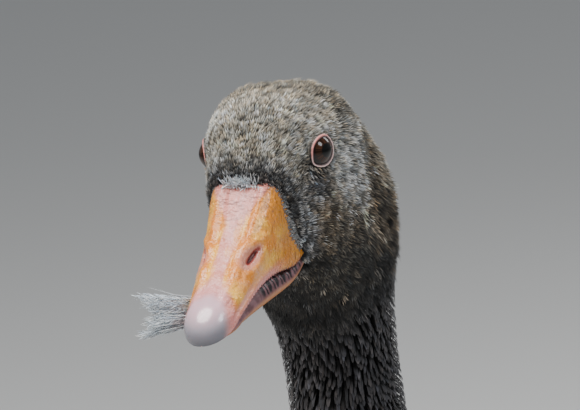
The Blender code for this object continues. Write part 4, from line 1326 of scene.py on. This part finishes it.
def build_lid(word, sign, rings=15):
    """The lids: a rim round the opening that rises over the eyeball and dips under the feathers, as rings of
    polar angle from the opening outwards, closed below by a second wall."""
    share, angle = grid(np.linspace(0, 1, rings), turns(112))
    opening = lid_opening(angle)
    polar = opening + share * (math.radians(70) - opening)
    swell = 0.85 * np.sin(math.pi * np.clip(share / 0.42, 0, 1)) ** 0.7 * (1 - 0.4 * ease(share, 0.4, 1))
    radius = EYE_RADIUS + 0.12 + swell * (1 - ease(share, 0.55, 1.0)) - 0.9 * ease(share, 0.6, 1.0)
    radius = radius + 0.10 * np.sin(26 * angle + 3 * np.sin(3 * angle)) * bell(share, 0.35, 0.25)
    radius = np.concatenate([radius, np.full_like(radius, EYE_RADIUS - 0.7)])
    polar, share = (np.concatenate([values, values[::-1]]) for values in (polar, share))
    angle = np.concatenate([angle, angle])
    world = eye_point(sign, radius, polar, angle)
    rows, columns = polar.shape
    first, last = np.arange(columns), (rows - 1) * columns + np.arange(columns)
    joint = np.stack([last, np.roll(last, -1), np.roll(first, -1), first], -1)
    faces = np.concatenate([grid_faces(rows, columns, True), joint])
    if faces_inward(world[:rings], eye_centre(sign)):
        faces = faces[:, ::-1]
    mesh = mesh_from("lids_" + word, world, faces)
    put_value(mesh, "across", share)
    put_value(mesh, "upper", ease(np.sin(angle) * 0.9 - 0.1 * np.cos(angle), -0.2, 0.8))
    add_piece(mesh, "lid_skin")


# ---------------------------------------------------------------- body, wing and tail feathers
WING_HIDES = (14.8, 21.2)  # the rings between which no body feather roots below the folded wing
WING_SEED, GROUND_SEED, EDGE_SEED = 50, 60, 70
QUILLS = 9  # long feathers in a row of the wing
RUN_ROW, LENGTH_ROW, TIP_ROW = 0, 2, 5  # places in what wing_rows returns


def off_wing(a, b):
    """True for places on the body that no folded wing covers, with a margin inside the wing's edges."""
    table = np.array(WING_SECTIONS, float)
    top, low = (np.radians(np.interp(a, table[:, 0], table[:, i])) for i in (1, 2))
    around, (first, last) = from_back(b), WING_HIDES
    return ~((a > first) & (a < last) & (around > top + 0.16) & (around < low - 0.20))


def off_tail(a, b):
    """True for places that the bare part of the tail fan's upper face doesn't take up."""
    return (a < TAIL_ROOT + 0.35) | (from_back(b) > 1.5)


def build_contour(seed, name, count, rings, span, size, lift, keep=None, slot="feathers_body"):
    """A piece of rounded body feathers over a stretch of the trunk, sized along the rings, overlapping like
    tiles. The root height follows the coat's depth and the tip height its own table."""
    a, b = scatter(count, body_point, rings, span, seed)
    if keep is not None:
        kept = keep(a, b)
        a, b = a[kept], b[kept]
    rng = np.random.default_rng(seed)
    total = len(a)
    length = sized(rng, size, a, 0.10)
    width = length * 0.71 * uneven(rng, 0.07, total)
    yaw = rng.normal(0, 0.10, total)
    tip = (np.interp(a, *lift) + rng.normal(0, 0.16, total)) * MM
    blade, root = vane(7, 8, tip_rim=0.82, side_rim=(0.68, 1.0)), -coat_depth(a) * 0.95
    made = laid(body_point, a, b, length, width, yaw, root, tip, blade, arch=0.5 * MM, fray=0.006, seed=seed)
    tones = varied_pair(plumage(a, b), seed + 1, (0.12, 0.02), (0.10, 0.02))
    coat_piece(name, made, a, b, tones, "plumage_vane", slot)


def wing_rows(rows):
    """Run, place across, length, width, root, tip, tone and gap of a wing's feathers, row after row. Each row
    gives its run, how many feathers, their length and width, the span across, the height of root and tip, and
    the tone. Every second row is shifted, so that feathers cover the gaps of the row before."""
    columns = []
    for index, (run, count, length, width, low, high, root, tip, tone) in enumerate(rows):
        share = (np.arange(count) + (0.5 if index % 2 else 0.2)) / count
        across = low + (high - low) * share
        gap = (high - low) / count
        columns.append(np.stack(np.broadcast_arrays(run, across, length, width, root, tip, tone, gap)))
    return np.concatenate(columns, axis=1)


def build_wing(word, sign):
    """The folded wing: rows of small, middle and great coverts, then long tertials and secondaries, then the
    primaries' tips, over a closed bed that fills the wing below them, coloured dark as painted shade under
    the feathers."""
    run, across = grid(np.linspace(0.012, 0.72, 60), np.linspace(0, 1, 22))
    across = 0.5 + (across - 0.5) * (1 - 0.6 * ease(run, 0.58, 0.72))
    outer, out = framed(wing_point, run, np.clip(across, 0.01, 0.99))[:2]
    thick = np.interp(run, [0, 0.1, 0.8, 1], [1.5, 4.0, 3.0, 1.2])[..., None] * MM
    deep = thick + np.interp(run, [0, 0.15, 0.7, 1], [2, 9, 6, 1.2])[..., None] * MM
    bed = closed_tube(np.concatenate([outer - out * thick, (outer - out * deep)[:, ::-1]], axis=1))
    mesh = mesh_from("wing_bed_" + word, *for_side(sign, *bed))
    # painted shade: the bed is coloured dark as the shade under the wing's feathers
    put_colour(mesh, "ground", np.full((len(bed[0]), 3), 0.05))
    add_piece(mesh, "skin_down", ("wing_" + word, "primaries_" + word))
    # Run, count, length, width, span across, height of root and tip, tone.
    rows = [
        (0.012 + 0.0205 * i, 8 + min(i, 6), 20 + 0.6 * i, 14.5 + 0.3 * i, 0.02, 0.98, -2.6, 0.1, 0.0)
        for i in range(15)
    ]
    rows += [(0.315, 13, 42, 20, 0.0, 1.0, -2.4, 0.2, 0.3), (0.350, 13, 46, 21, 0.0, 1.0, -2.4, 0.2, 0.5)]
    rows += [(0.385, 12, 58, 24, 0.0, 1.0, -2.4, 0.3, 0.6), (0.425, 13, 78, 26, 0.0, 1.0, -2.4, 0.3, 0.75)]
    long = wing_rows([(0.475, QUILLS, 166, 34, 0.0, 1.02, -3.4, 0.2, 0.0)])
    tips = wing_rows([(0.66, QUILLS, 150, 25, 0.10, 0.94, -3.0, -0.9, 1.0)])
    for feathers, change in ((long, (1.12, 0.80)), (tips, (1.08, 0.86))):
        feathers[LENGTH_ROW] *= np.linspace(*change, QUILLS)
    long[TIP_ROW] += np.linspace(1.2, 0.0, QUILLS)
    tips[RUN_ROW] -= np.linspace(0.0, 0.09, QUILLS)
    broad, pointed = vane(9, 26, 0.8, 0.86, 6.0, 0.93, 0.2), vane(9, 26, 0.8, 0.42, 2.6, 0.97, 0.08)
    plans = (
        ("coverts", wing_rows(rows), vane(7, 8), COVERT_TONES, "plumage_vane", "wing_coverts"),
        ("secondaries", long, broad, QUILL_TONES, "plumage_quill", "wing_quills"),
        ("primaries", tips, pointed, QUILL_TONES, "plumage_vane", "wing_quills"),
    )
    for index, (name, feathers, blade, tones, material, slot) in enumerate(plans):
        a, b, length, width, root, tip, tone, gap = feathers
        rng = np.random.default_rng(WING_SEED + index)
        total = len(a)
        spread, tilt, fray = (0.25, 1.1, 0.0) if index else (1, 0.5, 0.007)
        a = a + rng.normal(0, 0.0025, total) * spread
        b = np.clip(b + rng.normal(0, 0.008, total) * spread, 0.0, 1.0)
        length = length * MM * np.exp(rng.normal(0, 0.05, total) * spread)
        width = width * MM * np.exp(rng.normal(0, 0.05, total) * spread)
        if index == 0:  # coverts are longer where the wing is, and wide enough to close their row
            slopes = framed(wing_point, a, np.clip(b, 0.01, 0.99))[2:]
            along, beside = (np.linalg.norm(slope, axis=-1) for slope in slopes)
            length = length * np.clip(along / along.mean(), 0.9, 1.7)
            width = np.maximum(width, 1.35 * gap * beside)
        yaw = rng.normal(0, 0.05, total) * spread
        heights = root * MM, tip * MM, blade, 0.5 * MM, tilt * MM, fray
        made = laid(wing_point, a, b, length, width, yaw, *heights, seed=index)
        near, far = np.array(tones)[:, :, None]
        ground, edge = near + (far - near) * tone[:, None]
        ground = varied(ground, GROUND_SEED + index, 0.10, 0.02)
        tones = ground, varied(edge, EDGE_SEED + index, 0.08, 0.02)
        coat_piece(f"coat_{name}_{word}", made, *wing_root(a, b)[:2], tones, material, slot, sign)


def build_tail(count=16, seed=91):
    """The tail fan: broad quills side by side on the fan's upper face, the middle ones on top, grey-brown
    with white tips and edges."""
    b = np.linspace(-0.86, 0.86, count)
    height = (-1.6 - 1.6 * np.abs(b)) * MM
    lie = (93 - 28 * b**2) * MM, 23 * MM, 0.0, height - 0.6 * MM, height
    blade = vane(9, 24, 0.7, 0.84, 5.0, 0.72, 0.2)
    made = laid(tail_point, np.full(count, 0.16), b, *lie, blade, tilt=0.5 * MM * np.sign(b))
    shade, pale = (np.tile([tone], (count, 1)) for tone in ((0.10, 0.092, 0.084), (0.74, 0.73, 0.70)))
    tones, ring = (varied(shade, seed, 0.1), pale), np.full(count, TAIL_ROOT - 0.4)
    coat_piece("coat_tail", made, ring, b, tones, "plumage_quill", "feathers_tail")


def build_thigh(word, sign, count=620, seed=71):
    """Small soft feathers down the thigh to the heel."""
    a, b = scatter(count, thigh_point, (0.0, 0.97), WHOLE_TURN, 7)
    rng = np.random.default_rng(seed)
    length = sized(rng, ([0, 0.6, 1], [26, 17, 7]), a, 0.1)
    root = -np.interp(a, [0, 0.6, 1], [6, 3.5, 1.0]) * MM
    yaw = rng.normal(0, 0.1, len(a))
    made = laid(thigh_point, a, b, length, length * 0.62, yaw, root, 0.0, vane(5, 7), fray=0.03)
    tones = blended([("flank", np.ones_like(a)), ("belly", ease(a, 0.1, 0.6))])
    tones, place = varied_pair(tones, seed + 1, (0.1,), (0.1,)), (BELLY + 0.8 * a, 2.0 + 0.12 * b)
    coat_piece("coat_thigh_" + word, made, *place, tones, "plumage_vane", "feathers_thigh", sign)


# ---------------------------------------------------------------- legs
def scale_grooves(along, around):
    """Six-sided scales: 1 in the grooves between them, where three waves at sixty degrees add up low, and 0
    on them."""
    wave = np.cos(TAU * along) + np.cos(TAU * (around - along / 2)) + np.cos(TAU * (around + along / 2))
    return 1 - ease(wave, -1.2, 0.1)


def foot_outline(turn):
    """The foot's radius from the ankle at each angle: toe tips, web edges drawn in by a power of a sine
    between them, and a round pad behind."""
    span = np.clip(turn, TOE_ANGLES[0], TOE_ANGLES[-1])
    share = np.interp(span, TOE_ANGLES, (0, 1, 2)) % 1.0
    reach = np.interp(span, TOE_ANGLES, TOE_LENGTHS) * (1 - WEB_SCALLOP * np.sin(math.pi * share) ** 0.8)
    outside = np.minimum(np.abs(turn - span), math.pi / 2)
    toe_side = TOE_HALF_WIDTH / np.maximum(np.sin(outside), 1e-6)
    return np.maximum(HEEL_PAD_RADIUS, np.minimum(reach, toe_side))


def foot_height(radius, turn):
    """The top of the foot over the floor, and how much of it is toe: a thin web with a jointed ridge along
    each toe, a bell across it, raised to the ankle by another bell."""
    height = np.full(np.broadcast(radius, turn).shape, WEB_THICKNESS)
    toe = np.zeros_like(height)
    for angle, length in zip(TOE_ANGLES, TOE_LENGTHS):
        off = radius * np.sin(np.clip(turn - angle, -math.pi / 2, math.pi / 2))
        crest = 9.0 - 3.2 * np.clip(radius / length, 0, 1)
        knuckle = 0.8 * np.cos(radius / length * 5 * math.pi) ** 2
        ridge = bell(off, 0, TOE_HALF_WIDTH)
        height = np.maximum(height, (crest + knuckle) * ridge)
        toe = np.maximum(toe, ridge)
    ankle = ANKLE_HEIGHT * bell(radius, 0, 13.0)
    return np.maximum(height, ankle), np.maximum(toe, ankle / ANKLE_HEIGHT)


def claw_tube(reach, heading, height, length, radius, drop):
    """A claw that starts at a reach and heading from the ankle: rings that narrow as the square root of what
    is left of the run and dip with its square."""
    share, turn = grid(np.linspace(0, 1, 18), turns(20))
    girth = radius * np.sqrt(np.maximum(1 - share, 0.01))
    off, run = girth * np.cos(turn), reach + length * share
    side = FOOT_SIDE + run * math.sin(heading) + off * math.cos(heading)
    ahead = ANKLE_AHEAD + run * math.cos(heading) - off * math.sin(heading)
    return closed_tube(to_world(side, ahead, height - drop * share**2 + girth * np.sin(turn)), flip=True)


def build_leg(word, sign):
    """Shank, foot and claws of one leg, scaled in relief."""
    run, turn = grid(np.linspace(0, 1, 216), turns(84))
    side, ahead, height, deep, wide = read_table(SHANK, run)
    groove = scale_grooves(run * SCALE_ROWS, turn / TAU * SCALE_COLUMNS)
    grow = 1 + 0.035 * (1 - groove) + 0.05 * bell(run, 0.05, 0.09) * np.cos(turn) ** 2
    side, ahead = side - wide * grow * np.sin(turn), ahead + deep * grow * np.cos(turn)
    shank = closed_tube(to_world(side, ahead, height))
    lead, trail = TOE_ANGLES[0] - math.radians(5), TOE_ANGLES[-1] + math.radians(5)
    # Columns stand close over toes and webs and wide apart behind.
    turn = np.concatenate([np.linspace(lead, trail, 150), np.linspace(trail, TAU + lead, 42)[1:-1]])
    turn = np.where(turn > math.pi, turn - TAU, turn)[None, :]
    share = np.concatenate([[0.02], np.linspace(0.05, 0.97, 60), [0.99, 1.0]])[:, None]
    outline = foot_outline(turn)
    radius = share * outline
    height, toe = foot_height(radius, turn)
    cracks = (1 - np.abs(np.sin(math.pi * radius / TOE_BAND)) ** 0.35) * toe * ease(radius, 8, 16)
    height = height - 0.45 * cracks
    rim = np.sqrt(np.clip((1 - share) / 0.06, 0, 1))
    height = np.where(share > 0.94, height * (0.35 + 0.65 * rim), height)
    sole = np.array([1.0, 0.7, 0.3])[:, None] * outline
    sides = (radius, sole), (height, 0.15), (toe, 1.0), (cracks, 0.0)
    radius, height, toe, cracks = (np.concatenate([top, under + 0 * sole]) for top, under in sides)
    side, ahead = FOOT_SIDE + radius * np.sin(turn + TOE_OUT), ANKLE_AHEAD + radius * np.cos(turn + TOE_OUT)
    foot = closed_tube(to_world(side, ahead, height), flip=True)
    size = HIND_TOE_HEIGHT, HIND_TOE_LENGTH, HIND_TOE_RADIUS, HIND_TOE_DROP
    hind = claw_tube(HEEL_PAD_RADIUS - 1.5, HIND_TOE_HEADING, *size)
    mesh = mesh_from("leg_" + word, *for_side(sign, *join([shank, foot, hind])))
    bare_shank, none = np.zeros(len(shank[0])), np.zeros(len(hind[0]))
    put_value(mesh, "groove", np.concatenate([groove.ravel(), [0, 0], cracks.ravel(), [0, 0], none]))
    put_value(mesh, "web", np.concatenate([bare_shank, (1 - toe).ravel(), [0, 1], none]))
    add_piece(mesh, "leg_scales", tuple(part + word for part in ("shank_", "foot_", "hind_toe_")))
    size = CLAW_RADIUS + 0.6, CLAW_LENGTH + 1.2, CLAW_RADIUS, CLAW_RADIUS * 0.8
    toes = zip(TOE_ANGLES, TOE_LENGTHS)
    claws = [claw_tube(length - 1.2, angle + TOE_OUT, *size) for angle, length in toes]
    mesh = mesh_from("claws_" + word, *for_side(sign, *join(claws)))
    nodes = tuple(f"claw_{toe}_{word}" for toe in ("inner", "middle", "outer"))
    add_piece(mesh, "claw_horn_painted", nodes)


# ---------------------------------------------------------------- stage
VIEW_AZIMUTH, VIEW_ELEVATION, VIEW_ROLL = math.radians(23.0), math.radians(10.0), math.radians(6.0)
VIEW_DISTANCE, VIEW_WIDTH = 2.0, 0.248  # to the eyes, and how wide the view is there, in metres
VIEW_ASIDE, VIEW_BELOW = 0.0110, 0.0204  # the view's middle lies this far right of and below the eyes
SENSOR = 36.0
FLOOR_HALF = 30.0
LAMP_TARGET = (0, -0.2, 0.6)


def build_camera():
    """The camera: it looks down at the eyes from ahead and from the bird's left, rolled a little."""
    level = math.cos(VIEW_ELEVATION)
    back = Vector((math.sin(VIEW_AZIMUTH) * level, -math.cos(VIEW_AZIMUTH) * level, math.sin(VIEW_ELEVATION)))
    right = Vector((math.cos(VIEW_AZIMUTH), math.sin(VIEW_AZIMUTH), 0.0))
    up = back.cross(right)
    c, s = math.cos(VIEW_ROLL), math.sin(VIEW_ROLL)
    right, up = right * c - up * s, right * s + up * c
    data = bpy.data.cameras.new("camera")
    data.sensor_width, data.lens, data.clip_end = SENSOR, SENSOR * VIEW_DISTANCE / VIEW_WIDTH, 100.0
    place = Vector(EYES_AT) + back * VIEW_DISTANCE + right * VIEW_ASIDE - up * VIEW_BELOW
    view = Matrix.Translation(place) @ Matrix((right, up, back)).transposed().to_4x4()
    bpy.context.scene.camera = add_object("camera", data, matrix_world=view)


def build_stage(settings):
    """A pale floor, a pale surround and three soft lamps."""
    mesh = bpy.data.meshes.new("floor")
    corners = [(x * FLOOR_HALF, y * FLOOR_HALF, 0) for x, y in ((-1, -1), (1, -1), (1, 1), (-1, 1))]
    mesh.from_pydata(corners, [], [(0, 1, 2, 3)])
    paint = Paint("floor_paint", Roughness=0.9)
    paint.shader.inputs["Base Color"].default_value = (*settings.floor_colour, 1.0)
    mesh.materials.append(paint.material)
    add_object("floor", mesh)
    world = bpy.data.worlds.new("surround")
    world.use_nodes = True
    light = world.node_tree.nodes["Background"].inputs
    light["Color"].default_value = (*settings.surround_colour, 1.0)
    light["Strength"].default_value = settings.surround_strength
    bpy.context.scene.world = world
    # Name, place, size, power and colour.
    lamps = (
        ("key", (-0.60, -0.95, 2.75), 1.6, settings.key_power, (1.0, 0.985, 0.96)),
        ("side", (1.65, -0.6, 2.1), 0.9, settings.side_power, (0.90, 0.95, 1.0)),
        ("back", (0.6, 2.2, 1.8), 1.4, settings.back_power, (1.0, 1.0, 1.0)),
    )
    for name, place, size, power, colour in lamps:
        data = bpy.data.lights.new(name, "AREA")
        data.shape, data.size, data.energy, data.color = "DISK", size, power, colour
        turn = (Vector(LAMP_TARGET) - Vector(place)).to_track_quat("-Z", "Y").to_euler()
        add_object(name, data, location=place, rotation_euler=turn)


# ---------------------------------------------------------------- the add-on
def measure(name, default, description, unit="LENGTH"):
    """A setting that is a size, or a number with another unit."""
    return bpy.props.FloatProperty(name=name, description=description, default=default, min=0, unit=unit)


def number(name, default, description, low=100):
    """A setting that counts something."""
    return bpy.props.IntProperty(name=name, description=description, default=default, min=low)


def tint(name, default, description):
    """A setting that is a colour."""
    return bpy.props.FloatVectorProperty(
        name=name, description=description, default=default, subtype="COLOR", min=0, max=1
    )


class GooseCoatSettings(bpy.types.PropertyGroup):
    """Sizes and numbers of the feathers that a user would change."""

    face_length: measure("Face feather length", 0.0034, "Length of the small feathers on the face")
    cheek_length: measure("Cheek feather length", 0.0056, "Length of the feathers on cheek and nape")
    neck_length: measure("Neck feather length", 0.0100, "Length of the streaked feathers on the neck")
    breast_length: measure("Breast feather length", 0.024, "Length of the rounded feathers on the breast")
    trunk_length: measure("Trunk feather length", 0.034, "Length of the rounded feathers on flanks and back")
    face_count: number("Face feathers", 4300, "How many small feathers the face has")
    cheek_count: number("Cheek feathers", 4500, "How many feathers cheek, nape and throat have")
    neck_count: number("Neck feathers", 9000, "How many feathers the neck has")
    neck_lanes: number("Neck furrows", 40, "How many furrows run down round the neck", 4)


class GooseStageSettings(bpy.types.PropertyGroup):
    """Floor, surround and lamps."""

    floor_colour: tint("Floor", (0.62, 0.62, 0.61), "Colour of the floor")
    surround_colour: tint("Surround", (0.86, 0.90, 0.95), "Colour of the light all round")
    surround_strength: measure("Surround strength", 0.32, "Strength of the light all round", "NONE")
    key_power: measure("Key lamp", 120.0, "Power of the lamp above the bird's head", "POWER")
    side_power: measure("Side lamp", 28.0, "Power of the lamp at the bird's left", "POWER")
    back_power: measure("Back lamp", 24.0, "Power of the lamp behind the bird", "POWER")


class GOOSE_OT_skin(bpy.types.Operator):
    """Build the skin of head, neck, trunk, tail and thighs"""

    bl_idname = "goose.skin"
    bl_label = "Skin"

    def execute(self, context):
        skin_material()
        build_skin()
        return {"FINISHED"}


class GOOSE_OT_head_coat(bpy.types.Operator):
    """Build the small feathers of head and neck"""

    bl_idname = "goose.head_coat"
    bl_label = "Head and Neck Coat"

    def execute(self, context):
        plumage_material("plumage_fine", sheen=0.1, band=(0.45, 1.0))
        plumage_material("plumage_neck", sheen=0.1, barbs=0.0006, band=(0.1, 1.0))
        coat = context.scene.goose_coat
        face, cheek, neck = coat.face_length / MM, coat.cheek_length / MM, coat.neck_length / MM
        small = {
            "barbs": 6,
            "length": ([0, 1.5, 3.5, 5, 6, 8], [face * 0.75, face, face * 1.15, face * 1.3, cheek, cheek]),
            "width": ([0, 3, 5, 6.5, 8], [1.2, 1.7, 2.0, 2.3, 2.4]),
            "lift": ([0, 2, 5, 7, 10], [0.1, 0.4, 0.7, 0.8, 0.5]),
        }
        build_tufts("coat_face", coat.face_count, (0.02, EYES + 1.1), small, seed=3)
        build_tufts("coat_crown_and_cheeks", coat.cheek_count, (EYES + 0.9, THROAT + 0.3), small, seed=5)
        streaked = {
            "lanes": coat.neck_lanes,
            "length": ([7.5, 10.5, 12.2, 13.5], [5.2, 7.0, neck * 1.15, neck * 2.2]),
            "width": ([7.5, 10.5, 12.2, 13.5], [1.2, 1.55, 5.6, 13.0]),
            "lift": ([7.5, 9, 12.4, 12.95, 13.3], [0.3, 0.0, 0.1, -0.3, -4.0]),
        }
        build_neck(coat.neck_count, (5.0, NECK_BASE + 0.7), streaked, seed=8)
        build_bill_fringe()
        for word, sign in SIDES:
            build_eye_fringe(word, sign)
        build_white_tufts()
        build_loose_feather()
        return {"FINISHED"}


class GOOSE_OT_body_coat(bpy.types.Operator):
    """Build the rounded feathers of breast, back, flanks, belly and rump"""

    bl_idname = "goose.body_coat"
    bl_label = "Body Coat"

    def execute(self, context):
        plumage_material("plumage_vane", barbs=0.0012)
        coat = context.scene.goose_coat
        breast, trunk = coat.breast_length / MM, coat.trunk_length / MM
        rings = [12.6, 13.5, 15, 17, 19, 21, 22, 23]
        lengths = [breast * 0.62, breast * 0.72, breast, trunk * 0.92, trunk, trunk, trunk, trunk * 0.8]
        size, back_size = (rings, lengths), (rings, [length * 1.25 for length in lengths])
        lift = [12.5, 15, 18, 23], [0.0, 0.3, 0.3, 0.0]
        back_lift = [12, 15, 20, 23], [0.5, 1.6, 1.4, 0.5]
        vent_lift = [20, 22.6, 23.1], [0.2, 0.0, -1.4]
        back, flank, vent = (SHOULDER - 0.35, VENT + 0.2), (KEEL, VENT + 0.6), (VENT - 0.2, TAIL_MID + 0.12)
        # Name, count, rings, turns, lengths and heights by ring, the places that are kept, slot.
        pieces = (
            ("coat_breast", 2300, (NECK_BASE - 0.5, KEEL + 0.2), WHOLE_TURN, size, lift, off_wing),
            ("coat_back", 800, back, (-0.62, 0.62), back_size, back_lift, off_wing),
            ("coat_flank_left", 1100, flank, (0.9, 2.25), size, lift, off_wing),
            ("coat_flank_right", 1100, flank, (-2.25, -0.9), size, lift, off_wing),
            ("coat_belly", 1300, (KEEL, VENT + 0.3), (2.15, TAU - 2.15), size, lift),
            ("coat_vent", 700, vent, WHOLE_TURN, size, vent_lift, off_tail, "feathers_tail"),
        )
        for seed, piece in enumerate(pieces, 11):
            build_contour(seed, *piece)
        for word, sign in SIDES:
            build_thigh(word, sign)
        return {"FINISHED"}


class GOOSE_OT_wings(bpy.types.Operator):
    """Build the folded wings' coverts and quills, and the tail fan"""

    bl_idname = "goose.wings"
    bl_label = "Wings and Tail"

    def execute(self, context):
        plumage_material("plumage_quill", barbs=0.0011, shaft=0.0011, sheen=0.1)
        for word, sign in SIDES:
            build_wing(word, sign)
        build_tail()
        return {"FINISHED"}


class GOOSE_OT_bill(bpy.types.Operator):
    """Build the bill with its nail, nostrils and toothed rims"""

    bl_idname = "goose.bill"
    bl_label = "Bill"

    def execute(self, context):
        bill_material()
        lower_bill_material()
        build_upper_bill()
        build_lower_bill()
        return {"FINISHED"}


class GOOSE_OT_eyes(bpy.types.Operator):
    """Build the eyeballs and lids"""

    bl_idname = "goose.eyes"
    bl_label = "Eyes"

    def execute(self, context):
        eye_material()
        lid_material()
        for word, sign in SIDES:
            build_eye(word, sign)
            build_lid(word, sign)
        return {"FINISHED"}


class GOOSE_OT_legs(bpy.types.Operator):
    """Build shanks, webbed feet and claws"""

    bl_idname = "goose.legs"
    bl_label = "Legs and Feet"

    def execute(self, context):
        leg_material()
        horn_material()
        for word, sign in SIDES:
            build_leg(word, sign)
        return {"FINISHED"}


class GOOSE_OT_stage(bpy.types.Operator):
    """Build the floor, lamps and camera"""

    bl_idname = "goose.stage"
    bl_label = "Stage"

    def execute(self, context):
        build_stage(context.scene.goose_stage)
        build_camera()
        return {"FINISHED"}


OPERATORS = (
    GOOSE_OT_skin,
    GOOSE_OT_head_coat,
    GOOSE_OT_body_coat,
    GOOSE_OT_wings,
    GOOSE_OT_bill,
    GOOSE_OT_eyes,
    GOOSE_OT_legs,
    GOOSE_OT_stage,
)


class GOOSE_PT_panel(bpy.types.Panel):
    """Lists the goose's pieces in the 3D view's sidebar"""

    bl_idname = "GOOSE_PT_panel"
    bl_label = "Domestic Goose"
    bl_space_type = "VIEW_3D"
    bl_region_type = "UI"
    bl_category = "Goose"

    def draw(self, context):
        for group in (context.scene.goose_coat, context.scene.goose_stage):
            for name in group.bl_rna.properties.keys():
                if name not in {"rna_type", "name"}:
                    self.layout.prop(group, name)
        for operator in OPERATORS:
            self.layout.operator(operator.bl_idname)


CLASSES = (GooseCoatSettings, GooseStageSettings, *OPERATORS, GOOSE_PT_panel)


def register():
    """Registers the classes and hangs their settings on the scene."""
    for cls in CLASSES:
        bpy.utils.register_class(cls)
    bpy.types.Scene.goose_coat = bpy.props.PointerProperty(type=GooseCoatSettings)
    bpy.types.Scene.goose_stage = bpy.props.PointerProperty(type=GooseStageSettings)


def unregister():
    """Undoes register."""
    del bpy.types.Scene.goose_coat
    del bpy.types.Scene.goose_stage
    for cls in reversed(CLASSES):
        bpy.utils.unregister_class(cls)


def main():
    """Builds the stage and every piece."""
    register()
    bpy.ops.goose.stage()
    bpy.ops.goose.skin()
    bpy.ops.goose.bill()
    bpy.ops.goose.eyes()
    bpy.ops.goose.head_coat()
    bpy.ops.goose.body_coat()
    bpy.ops.goose.wings()
    bpy.ops.goose.legs()


if __name__ == "__main__":
    main()
